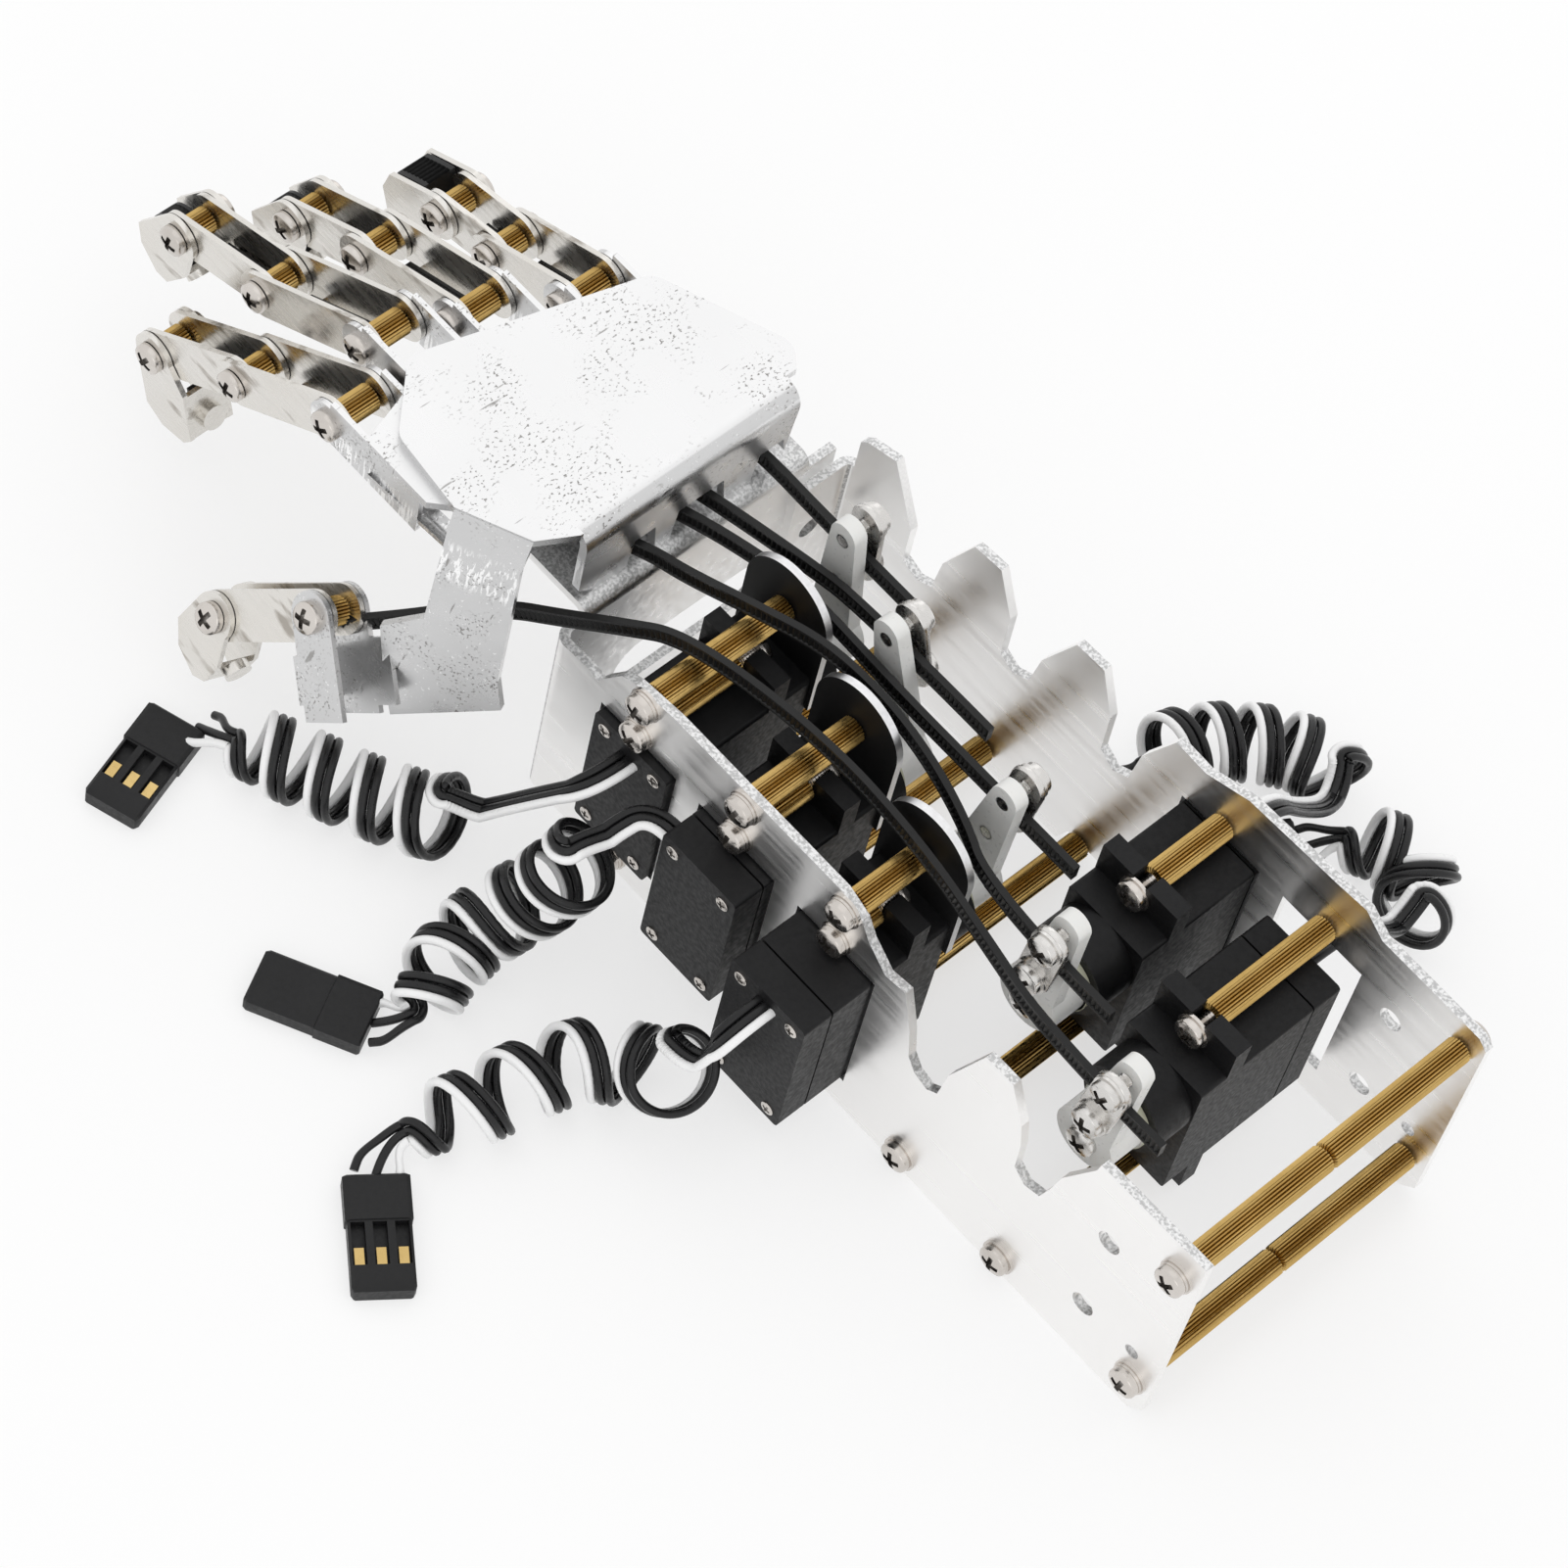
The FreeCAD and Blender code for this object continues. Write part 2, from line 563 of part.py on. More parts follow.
def hinge_pin(point, y, inner_half, outer_face):
    """A brass spacer between the inner walls and a screw from each side."""
    x, z = point
    pieces = [rod_y(x, z, spacer_r, y - inner_half, y + inner_half)]
    for sy in (-1, 1):
        screw = pan_screw(V(x, y + sy * inner_half, z), V(0, sy, 0), outer_face - inner_half)
        pieces.append(screw)
    return pieces


base_pins = []
for name in "abcd":
    h1, h2, h3 = finger_hinges[name]
    y = finger_plane[name]
    run_1 = math.hypot(h2[0] - h1[0], h2[1] - h1[1])
    run_2 = math.hypot(h3[0] - h2[0], h3[1] - h2[1])
    turn_1 = math.degrees(math.atan2(h2[1] - h1[1], h2[0] - h1[0]))
    turn_2 = math.degrees(math.atan2(h3[1] - h2[1], h3[0] - h2[0]))
    parts["finger_%s_link_1" % name] = channel(name, h1, turn_1, run_1, outer_half, 4.2, run_1 - 4.6)
    parts["finger_%s_link_2" % name] = channel(name, h2, turn_2, run_2, middle_half, 4.2, run_2 - 4.6)
    parts["finger_%s_link_3" % name] = tip_link(name, h3, tip_angle[name], tip_length[name])
    outer_pins = hinge_pin(h2, y, middle_half - link_sheet, outer_half + head_gap)
    outer_pins += hinge_pin(h3, y, middle_half - link_sheet, outer_half + head_gap)
    parts["finger_%s_pins" % name] = group(outer_pins)
    base_pins += hinge_pin(h1, y, outer_half - link_sheet - spacer_gap, lug_half)

# Thumb, built flat along X with its hinge along Y and then turned into place
axis_dir = V(thumb_axis).normalize()
link_dir = (thumb_link - axis_dir * thumb_link.dot(axis_dir)).normalize()
third_dir = link_dir.cross(axis_dir * -1)
turn = FreeCAD.Matrix(
    link_dir.x, -axis_dir.x, third_dir.x, thumb_base.x,
    link_dir.y, -axis_dir.y, third_dir.y, thumb_base.y,
    link_dir.z, -axis_dir.z, third_dir.z, thumb_base.z,
    0, 0, 0, 1)


def place_thumb(shape):
    """Turn a shape by the thumb frame without changing its surfaces."""
    placed = shape.copy()
    placed.Placement = FreeCAD.Placement(turn).multiply(placed.Placement)
    return placed


finger_plane["thumb"] = 0.0
bracket = []
for sy in (-1, 1):
    a = sy * outer_half
    b = sy * (outer_half - link_sheet)
    ear_wall = slice_y(-link_r, link_r, a, b, -thumb_bracket_length, 0)
    ear_wall = ear_wall.fuse(rod_y(0, 0, link_r, a, b))
    bracket.append(ear_wall)
bracket.append(box(link_r, link_r + link_sheet, -outer_half, outer_half, -thumb_bracket_length + 2.0, -4.6))
bracket.append(box(-link_r - thumb_tab_reach, -link_r, outer_half * -1, -outer_half + link_sheet,
                   -thumb_bracket_length + 1.0, -3.4))
bracket = fuse(bracket).cut(rod_y(0, 0, shank_r + 0.02, -9, 9))
parts["palm_sheet"] = fuse([palm, place_thumb(bracket)])
thumb_outer = channel("thumb", (0, 0), 0, thumb_length, middle_half, 4.2, thumb_length - 4.6)
parts["thumb_link_1"] = place_thumb(thumb_outer)
thumb_tip_angle = -31.0
thumb_tip_solid = tip_link("thumb", (thumb_length, 0), thumb_tip_angle, thumb_tip_length)
parts["thumb_link_2"] = place_thumb(thumb_tip_solid)
for piece in hinge_pin((0, 0), 0.0, middle_half - link_sheet - spacer_gap, outer_half):
    base_pins.append(place_thumb(piece))
thumb_pins = []
for piece in hinge_pin((thumb_length, 0), 0.0, middle_half - link_sheet, outer_half + head_gap):
    thumb_pins.append(place_thumb(piece))
parts["thumb_pins"] = group(thumb_pins)
parts["base_hinge_pins"] = group(base_pins)

# Pull strips: bands standing on edge, each a plan route kept at one height
strip_grip_z = 36.05
strip_routes = {
    "a": [(79.6, -10.3, strip_grip_z), (99.5, -10.3, strip_grip_z), (107.0, -10.4, 36.3), (118.0, -9.6, 36.2),
          (127.0, -7.6, 36.2)],
    "b": [(64.6, -5.8, strip_grip_z), (86.4, -5.8, strip_grip_z), (95.0, -4.2, 36.2), (107.0, -1.5, 36.4),
          (119.0, 1.4, 36.2), (131.0, 5.0, 36.2)],
    "c": [(45.4, -1.1, strip_grip_z), (64.0, -1.1, strip_grip_z), (74.4, -0.9, 36.4), (91.2, -1.4, 36.6),
          (97.5, -0.4, 36.6), (107.0, 2.1, 36.4), (122.0, 8.0, 36.2), (134.0, 13.6, 36.2)],
    "d": [(29.6, 8.5, strip_grip_z), (50.0, 8.5, strip_grip_z), (58.0, 5.4, 38.6), (70.0, 3.7, 41.2),
          (82.0, 3.9, 41.5), (91.2, 7.0, 41.2), (101.0, 9.0, 38.4), (107.0, 9.4, 36.6), (120.0, 16.0, 36.2),
          (130.0, 22.0, 36.2)],
    "e": [(14.2, 15.5, strip_grip_z), (33.4, 15.5, strip_grip_z), (44.0, 14.4, 38.4), (57.6, 13.2, 41.2),
          (74.4, 12.6, 41.2), (93.4, 15.8, 41.1), (100.5, 19.6, 38.2), (106.6, 22.6, 35.1), (112.5, 24.8, 31.6),
          (117.5, 28.1, 28.4), (122.4, 32.4, 25.6)],
}


def ribbon(route, height, thick):
    """A band of even thickness that follows an (x, y, z) route on edge."""
    sections = []
    for k in range(len(route)):
        a = route[max(k - 1, 0)]
        b = route[min(k + 1, len(route) - 1)]
        dx = b[0] - a[0]
        dy = b[1] - a[1]
        size = math.hypot(dx, dy)
        side = V(-dy / size * thick / 2, dx / size * thick / 2, 0)
        middle = V(*route[k])
        rise = UP * (height / 2)
        corners = [middle + side + rise, middle - side + rise, middle - side - rise, middle + side - rise]
        sections.append(Part.makePolygon(corners + [corners[0]]))
    return Part.makeLoft(sections, True, True)


for name in "abcde":
    parts["pull_strip_%s" % name] = ribbon(strip_routes[name], strip_height, strip_thick)


def tube(points, r):
    """A round tube along straight runs joined by tangent arcs."""
    vectors = [V(*p) for p in points]
    edges = []
    start = vectors[0]
    radii = []
    for k in range(1, len(vectors) - 1):
        before = (vectors[k - 1] - vectors[k])
        after = (vectors[k + 1] - vectors[k])
        shorter = min(before.Length, after.Length)
        before.normalize()
        after.normalize()
        half_turn = (math.pi - before.getAngle(after)) / 2
        radius = 0.45 * shorter / math.tan(half_turn)
        radii.append(round(radius, 1))
        reach = 0.45 * shorter
        p_in = vectors[k] + before * reach
        p_out = vectors[k] + after * reach
        centre_dir = (before + after).normalize()
        centre = vectors[k] + centre_dir * (reach / math.cos(math.pi / 2 - half_turn))
        centre = vectors[k] + centre_dir * math.hypot(reach, radius)
        middle = centre - centre_dir * radius
        edges.append(Part.makeLine(start, p_in))
        edges.append(Part.Arc(p_in, middle, p_out).toShape())
        start = p_out
    edges.append(Part.makeLine(start, vectors[-1]))
    wire = Part.Wire(edges)
    length = wire.Length
    direction = vectors[1] - vectors[0]
    circle = Part.Wire(Part.makeCircle(r, vectors[0], direction))
    solid = wire.makePipeShell([circle], True, False, 2)
    print("tube r", r, "bend radii", radii, "length", round(length, 1),
          "volume ratio", round(solid.Volume / (math.pi * r * r * length), 3))
    return solid


# Leads: a plain run from the cover, the curled length as one fat tube, and a plain run to the connector
lead_points = {
    1: ((91.2, 24.3, 25.6), (91.2, 30.0, 25.6), (96.6, 32.6, 18.4), (102.4, 35.2, 10.0), (106.0, 38.2, 6.0)),
    2: ((80.5, 26.8, 26.0), (84.6, 26.8, 26.0), (86.4, 31.2, 22.8), (87.0, 34.4, 18.2)),
    3: ((57.6, 33.5, 26.3), (57.6, 39.4, 26.3), (59.4, 40.6, 17.5), (62.4, 40.4, 10.5), (66.5, 40.8, 6.3)),
    4: ((40.8, -26.1, 26.3), (40.8, -31.6, 26.3), (40.6, -38.0, 18.0), (40.9, -46.0, 9.6), (43.2, -52.6, 6.0),
        (48.4, -53.2, 5.5)),
    5: ((24.0, -19.1, 26.3), (24.0, -27.5, 26.3), (23.6, -33.5, 18.5), (24.2, -40.5, 9.6), (25.4, -47.0, 5.9),
        (28.4, -50.9, 5.5)),
}
coil_points = {
    1: ((106.0, 38.2, 6.0), (115.0, 43.0, 5.5), (122.5, 46.3, 5.6), (128.0, 49.2, 5.5)),
    2: ((87.0, 34.4, 18.2), (89.2, 37.4, 11.5), (92.2, 42.6, 6.0), (91.4, 49.0, 5.5), (90.0, 52.8, 5.5)),
    3: ((66.5, 40.8, 6.3), (72.0, 44.4, 5.5), (74.0, 52.5, 5.6), (75.5, 61.0, 5.5)),
    4: ((48.4, -53.2, 5.5), (53.6, -48.4, 5.6), (57.9, -42.6, 5.5), (60.2, -36.8, 5.6)),
    5: ((28.4, -50.9, 5.5), (32.4, -50.2, 5.6), (36.0, -48.2, 5.5)),
}
tail_points = {
    1: ((128.0, 49.2, 5.5), (131.7, 50.2, 3.7), (134.6, 50.3, 2.1)),
    2: ((90.0, 52.8, 5.5), (88.6, 56.7, 3.8), (91.8, 59.7, 2.1)),
    3: ((75.5, 61.0, 5.5), (77.6, 65.2, 4.4), (78.6, 69.0, 2.8), (76.5, 72.2, 2.1)),
    4: ((60.2, -36.8, 5.6), (59.4, -33.4, 3.8), (60.8, -30.6, 2.1)),
    5: ((36.0, -48.2, 5.5), (39.2, -46.8, 3.7), (41.0, -43.6, 2.1)),
}
for n in range(1, 6):
    pieces = [tube(lead_points[n], ribbon_r), tube(coil_points[n], coil_r), tube(tail_points[n], ribbon_r)]
    parts["servo_lead_%d" % n] = fuse(pieces)

# Connectors lie flat on the table: centre x, y and the turn of their long side about Z
connector_spots = {
    1: (134.5, 58.6, 108.0), 2: (98.3, 63.1, 27.8), 3: (70.6, 76.5, 143.7), 4: (68.7, -29.2, 4.0), 5: (44.65, -37.3, 60.0),
}
connector_bodies = []
for n in range(1, 6):
    cx, cy, angle = connector_spots[n]
    block = box(-connector_length / 2, connector_length / 2, -connector_width / 2, connector_width / 2,
                0, connector_thick)
    block.rotate(V(0, 0, 0), UP, angle)
    block.translate(V(cx, cy, 0))
    connector_bodies.append(block)
parts["lead_connectors"] = group(connector_bodies)

# The origin is the middle of the hardware's box at its lowest level; leads are left out of that box
cord_names = ["servo_lead_%d" % n for n in range(1, 6)] + ["lead_connectors"]
whole = FreeCAD.BoundBox()
for name, shape in parts.items():
    if name not in cord_names:
        whole.add(shape.BoundBox)
shift = V(-whole.Center.x, -whole.Center.y, -whole.ZMin)
print("shift", round(shift.x, 4), round(shift.y, 4), round(shift.z, 4))
print("box", round(whole.XLength, 2), round(whole.YLength, 2), round(whole.ZLength, 2))
for name, shape in parts.items():
    placed = shape.copy()
    placed.translate(shift)
    placed.exportStep("parts/%s.step" % name)
print(len(parts), "nodes")
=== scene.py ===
import bpy
import bmesh
import numpy as np
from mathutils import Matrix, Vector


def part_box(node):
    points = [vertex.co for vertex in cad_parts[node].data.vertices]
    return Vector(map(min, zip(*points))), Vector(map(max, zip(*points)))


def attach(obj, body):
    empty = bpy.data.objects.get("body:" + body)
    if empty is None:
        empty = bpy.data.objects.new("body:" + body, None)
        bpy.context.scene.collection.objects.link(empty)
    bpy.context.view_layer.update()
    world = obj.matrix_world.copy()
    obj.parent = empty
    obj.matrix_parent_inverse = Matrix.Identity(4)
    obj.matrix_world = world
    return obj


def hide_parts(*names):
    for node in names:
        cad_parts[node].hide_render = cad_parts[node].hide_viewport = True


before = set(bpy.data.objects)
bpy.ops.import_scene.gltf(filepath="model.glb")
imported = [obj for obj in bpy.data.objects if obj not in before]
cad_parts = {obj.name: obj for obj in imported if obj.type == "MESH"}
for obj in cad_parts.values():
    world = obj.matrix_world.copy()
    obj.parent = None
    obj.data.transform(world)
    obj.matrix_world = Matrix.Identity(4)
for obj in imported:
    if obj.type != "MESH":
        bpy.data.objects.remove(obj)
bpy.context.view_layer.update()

# Bench, camera and lamps: a white bench top under an even studio tent.
# Three broad, faint lamps give the sheet metal its soft bright bands.
scene = bpy.context.scene
scene.view_settings.view_transform = "Standard"
camera = bpy.data.objects.new("camera", bpy.data.cameras.new("camera"))
camera.data.sensor_width = 36.0
camera.data.lens = 134.92
camera.location = (-0.211306, 0.291669, 0.600456)
camera.rotation_euler = (0.530866, -0.141958, -2.309972)
scene.collection.objects.link(camera)
scene.camera = camera
lamp_places = {
    "tent_lamp": ((0.10, -0.15, 0.75), 0.70, 0.20),
    "side_lamp": ((-0.55, 0.45, 0.45), 0.45, 0.25),
    "far_lamp": ((0.45, -0.50, 0.35), 0.40, 0.20),
}
for name, (spot, side, power) in lamp_places.items():
    lamp = bpy.data.lights.new(name, "AREA")
    lamp.shape = "SQUARE"
    lamp.size = side
    lamp.energy = power
    holder = bpy.data.objects.new(name, lamp)
    holder.location = spot
    holder.rotation_euler = (-holder.location).to_track_quat("-Z", "Y").to_euler()
    scene.collection.objects.link(holder)


def add_node(mat, kind, sockets, **settings):
    """A shader node whose sockets are set to numbers or joined to other nodes' outputs."""
    made = mat.node_tree.nodes.new(kind)
    for key, value in settings.items():
        setattr(made, key, value)
    for key, value in sockets.items():
        if isinstance(value, bpy.types.NodeSocket):
            mat.node_tree.links.new(value, made.inputs[key])
        else:
            made.inputs[key].default_value = value
    return made


def maths(mat, operation, *values):
    """The result of a Math node on one or two values."""
    return add_node(mat, "ShaderNodeMath", dict(enumerate(values)), operation=operation).outputs[0]


def new_finish(name, colour, metallic, roughness):
    """A material with one principled shader; the patterns are joined to it afterwards."""
    mat = bpy.data.materials.new(name)
    mat.use_nodes = True
    shader = mat.node_tree.nodes["Principled BSDF"]
    shader.inputs["Base Color"].default_value = (*colour, 1.0)
    shader.inputs["Metallic"].default_value = metallic
    shader.inputs["Roughness"].default_value = roughness
    return mat


def seen_share(mat):
    """One for the rays that show the surroundings: those of the camera, of gloss and through glass."""
    rays = add_node(mat, "ShaderNodeLightPath", {})
    share = rays.outputs["Is Camera Ray"]
    for kind in ("Is Glossy Ray", "Is Transmission Ray"):
        share = maths(mat, "MAXIMUM", share, rays.outputs[kind])
    return share


world = bpy.data.worlds.new("tent")
world.use_nodes = True
scene.world = world
tent = world.node_tree.nodes["Background"]
tent.inputs["Color"].default_value = (1.0, 1.0, 1.0, 1.0)
tent.inputs["Strength"].default_value = 0.95
white = add_node(world, "ShaderNodeBackground", {"Color": (1, 1, 1, 1), "Strength": 1.0})
tent_mix = add_node(world, "ShaderNodeMixShader",
                    {0: seen_share(world), 1: tent.outputs[0], 2: white.outputs[0]})
world.node_tree.links.new(tent_mix.outputs[0], world.node_tree.nodes["World Output"].inputs["Surface"])

bench_size = 6.0
bench_glow = 0.66
bench_paint = new_finish("bench_paint", (0.97, 0.97, 0.97), 0.0, 0.6)
glow = add_node(bench_paint, "ShaderNodeEmission", {"Color": (1, 1, 1, 1), "Strength": 1.0})
share = maths(bench_paint, "MULTIPLY", seen_share(bench_paint), bench_glow)
blend = add_node(bench_paint, "ShaderNodeMixShader", {
    0: share, 1: bench_paint.node_tree.nodes["Principled BSDF"].outputs[0], 2: glow.outputs[0]})
bench_paint.node_tree.links.new(blend.outputs[0],
                                bench_paint.node_tree.nodes["Material Output"].inputs["Surface"])
bench_mesh = bpy.data.meshes.new("bench")
half = bench_size / 2
bench_corners = [(-half, -half, 0), (half, -half, 0), (half, half, 0), (-half, half, 0)]
bench_mesh.from_pydata(bench_corners, [], [(0, 1, 2, 3)])
bench_mesh.materials.append(bench_paint)
bench = bpy.data.objects.new("bench", bench_mesh)
scene.collection.objects.link(bench)

# Side plates: laser cut aluminium, 1.2 mm. Their faces are smooth and faintly rolled,
# and the zigzag edges are whitish and rough where the beam went through.
near_low, near_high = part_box("plate_near")
rear_x = near_low.x
mid_y = near_high.y - 0.0232
sheet = 0.0012
flat_from, flat_to = 0.86, 0.90


def noise(mat, scale, stretch=(1, 1, 1), detail=4.0):
    """Noise on Object coordinates, stretched along the axes by a Mapping node."""
    place = add_node(mat, "ShaderNodeTexCoord", {})
    fitted = add_node(mat, "ShaderNodeMapping", {"Vector": place.outputs["Object"], "Scale": stretch})
    return add_node(mat, "ShaderNodeTexNoise",
                    {"Vector": fitted.outputs[0], "Scale": scale, "Detail": detail}).outputs["Fac"]


def span(mat, value, low, high, to_low, to_high):
    """A value mapped from one span to another and held inside it."""
    return add_node(mat, "ShaderNodeMapRange", {
        "Value": value, "From Min": low, "From Max": high,
        "To Min": to_low, "To Max": to_high}).outputs[0]


def mixed(mat, share, first, second):
    """Two colours mixed by a share."""
    made = add_node(mat, "ShaderNodeMix", {0: share, 6: first, 7: second}, data_type="RGBA")
    return made.outputs[2]


def joined(mat, output, socket):
    """Join an output to the shader's socket."""
    mat.node_tree.links.new(output, mat.node_tree.nodes["Principled BSDF"].inputs[socket])


def raised(mat, height, distance):
    """A bump from a height pattern, in metres."""
    made = add_node(mat, "ShaderNodeBump", {"Height": height, "Distance": distance, "Strength": 1.0})
    joined(mat, made.outputs[0], "Normal")


def flat_share(mat, across):
    """One where the surface's normal runs along one of the across axes, and zero elsewhere."""
    geometry = add_node(mat, "ShaderNodeNewGeometry", {})
    parts = add_node(mat, "ShaderNodeSeparateXYZ", {0: geometry.outputs["Normal"]})
    flats = []
    for axis in across:
        size = maths(mat, "ABSOLUTE", parts.outputs[axis])
        flats.append(span(mat, size, flat_from, flat_to, 0.0, 1.0))
    flat = flats[0]
    for other in flats[1:]:
        flat = maths(mat, "MAXIMUM", flat, other)
    return flat


def tone(colour, share):
    """Each channel of a colour times a share and at most one, with full alpha."""
    return tuple(min(1, v * share) for v in colour) + (1,)


def rolled_sheet(name, base, cut, across):
    """Sheet metal: smooth rolled faces across the given axes, and rough cut edges elsewhere."""
    mat = new_finish(name, base, 1.0, 0.32)
    flat = flat_share(mat, across)
    cloud = noise(mat, 60, (1, 1, 0.3))
    grit = noise(mat, 2600, detail=2)
    streak = noise(mat, 900, (0.04, 1, 1), 3)
    shade = mixed(mat, cloud, tone(base, 0.93), tone(base, 1.04))
    rough_edge = mixed(mat, span(mat, grit, 0.4, 0.6, 0.0, 1.0), tone(cut, 0.6), tone(cut, 1.0))
    joined(mat, mixed(mat, flat, rough_edge, shade), "Base Color")
    face_rough = span(mat, streak, 0.3, 0.7, 0.26, 0.4)
    edge_rough = span(mat, grit, 0.3, 0.7, 0.42, 0.62)
    rough = add_node(mat, "ShaderNodeMix", {0: flat, 2: edge_rough, 3: face_rough}).outputs[0]
    joined(mat, rough, "Roughness")
    inverse = span(mat, flat, 0.0, 1.0, 1.0, 0.12)
    raised(mat, maths(mat, "MULTIPLY", grit, inverse), 0.00006)
    return mat


def repaint(node, mat):
    """Give a CAD node's object one finish."""
    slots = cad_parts[node].data.materials
    slots.clear()
    slots.append(mat)


plate_metal = rolled_sheet("plate_metal", (0.975, 0.96, 0.95), (0.86, 0.86, 0.86), ("X", "Y"))
repaint("plate_near", plate_metal)
repaint("plate_far", plate_metal)

# Palm and finger mount: brighter sheet that has been handled. The palm's top carries fine pits
# and short scratches, and its leaning side is scraped in upright strokes beside the bend.
# The side faces also get painted shade, a darker tone chosen by their direction, and painted glints.
scrape_low = (0.0362, 0.0375)
scrape_high = (0.0412, 0.0424)
scrape_and_glint_white = (0.98, 0.98, 0.98, 1)
pit_grey = (0.30, 0.29, 0.28, 1)


def handled_sheet(name, base):
    """Bright sheet with pits in patches and short scratches. Faces turned to the side get painted
    shade, a darker tone, and carry upright white strokes inside a belt of heights, with painted glints
    all over."""
    mat = new_finish(name, base, 1.0, 0.3)
    cloud = noise(mat, 45)
    pits = span(mat, noise(mat, 3000, (1.0, 0.6, 1.0), 2), 0.34, 0.40, 1.0, 0.0)
    patch = span(mat, noise(mat, 110, detail=3), 0.48, 0.6, 0.0, 1.0)
    scratch = span(mat, noise(mat, 1500, (1.0, 0.09, 0.2), 2), 0.25, 0.30, 0.8, 0.0)
    marked = maths(mat, "MAXIMUM", maths(mat, "MULTIPLY", pits, patch), scratch)
    clean = mixed(mat, cloud, tone(base, 0.95), tone(base, 1.04))
    spot = add_node(mat, "ShaderNodeTexCoord", {}).outputs["Object"]
    level = add_node(mat, "ShaderNodeSeparateXYZ", {0: spot}).outputs["Z"]
    under = span(mat, level, *scrape_low, 0.0, 1.0)
    over = span(mat, level, *scrape_high, 1.0, 0.0)
    belt = maths(mat, "MULTIPLY", under, over)
    hairs = span(mat, noise(mat, 2400, (1.0, 1.0, 0.08), 2), 0.52, 0.6, 0.0, 1.0)
    scraped = maths(mat, "MULTIPLY", belt, hairs)
    # Scattered white specks on the side faces: painted glints.
    sparkle = span(mat, noise(mat, 2600, detail=1), 0.69, 0.74, 0.0, 0.6)
    scrape_and_glint = maths(mat, "MAXIMUM", scraped, sparkle)
    # The side faces' darker tone is painted shade; the white strokes and glints lie over it.
    side = mixed(mat, scrape_and_glint, tone(base, 0.77), scrape_and_glint_white)
    faced = mixed(mat, flat_share(mat, ("X", "Z")), side, clean)
    joined(mat, mixed(mat, marked, faced, pit_grey), "Base Color")
    joined(mat, span(mat, noise(mat, 300, (0.3, 1, 1), 3), 0.3, 0.7, 0.22, 0.38), "Roughness")
    raised(mat, span(mat, marked, 0.0, 1.0, 1.0, 0.0), 0.00004)
    return mat


palm_metal = handled_sheet("palm_metal", (0.84, 0.84, 0.842))
for node in ("palm_sheet", "finger_mount"):
    repaint(node, palm_metal)

# Servos: five small black moulded cases with separate back covers held by four tiny screws.
# The plastic is matt with a faint spark eroded grain.


def clouded(name, dark, light, metallic, roughness, gloss=0.5):
    """A finish whose colour drifts in soft clouds between two shades, with a grain in its roughness."""
    mat = new_finish(name, dark, metallic, roughness[0])
    mat.node_tree.nodes["Principled BSDF"].inputs["Specular IOR Level"].default_value = gloss
    joined(mat, mixed(mat, noise(mat, 140), (*dark, 1), (*light, 1)), "Base Color")
    joined(mat, span(mat, noise(mat, 1500, detail=2), 0.3, 0.7, *roughness), "Roughness")
    return mat


case_black = clouded("case_black", (0.005, 0.005, 0.0055), (0.009, 0.009, 0.0098), 0.0, (0.40, 0.58),
                     0.25)
raised(case_black, noise(case_black, 3800, detail=1), 0.00002)
for n in range(1, 6):
    repaint("servo_case_%d" % n, case_black)
repaint("servo_back_covers", case_black)

# Straps: half round plates over the first three servos, painted matt black on their faces and
# bare and bright along the edge that the tool cut.
strap_finish = new_finish("strap_finish", (0.008, 0.008, 0.009), 0.0, 0.5)
painted = flat_share(strap_finish, ("Y",))
bare = mixed(strap_finish, noise(strap_finish, 1800), (0.66, 0.66, 0.67, 1), (0.90, 0.90, 0.91, 1))
black_face = mixed(strap_finish, noise(strap_finish, 90),
                   (0.006, 0.006, 0.007, 1), (0.012, 0.012, 0.012, 1))
joined(strap_finish, mixed(strap_finish, painted, bare, black_face), "Base Color")
joined(strap_finish, span(strap_finish, painted, 0.0, 1.0, 1.0, 0.0), "Metallic")
joined(strap_finish, span(strap_finish, painted, 0.0, 1.0, 0.36, 0.55), "Roughness")
strap_finish.node_tree.nodes["Principled BSDF"].inputs["Specular IOR Level"].default_value = 0.25
repaint("servo_straps", strap_finish)

# Brass standoffs: bars with a fluted skin, chamfered at both ends and tapped for screws.
# The servos hang on them, and two rows of two cross the rear of the frame.
brass = clouded("brass", (0.40, 0.25, 0.07), (0.66, 0.46, 0.18), 1.0, (0.22, 0.42))
# The faces in the flutes' grooves take a much darker brass: painted shade in the grooves.
brass_groove_shade = clouded("brass_groove_shade", (0.09, 0.05, 0.012), (0.18, 0.11, 0.03), 1.0, (0.3, 0.5))
servo_x = [0.0912 - 0.0168 * i for i in range(5)]
servo_side = (-1, -1, -1, 1, 1)
ear_y = (0.0084, 0.0129, 0.0176, -0.0102, -0.0032)
bar_r = 0.00175
bar_bands = 5
flute_count = 24
flute_depth = 0.00026
flute_columns = 6
bar_chamfer = 0.0003
merge_gap = 1e-7
sharp_from = 0.6


def place(x, y, z):
    """A point given in metres from the plates' rear edge, middle plane and lower edges."""
    return np.array([rear_x + x, mid_y + y, z])


def frame_of(direction):
    """Three unit vectors, the last along the direction."""
    along = np.array(direction, float) / np.linalg.norm(direction)
    helper = np.array([0.0, 0.0, 1.0]) if abs(along[2]) < 0.9 else np.array([1.0, 0.0, 0.0])
    first = np.cross(helper, along)
    first /= np.linalg.norm(first)
    return first, np.cross(along, first), along


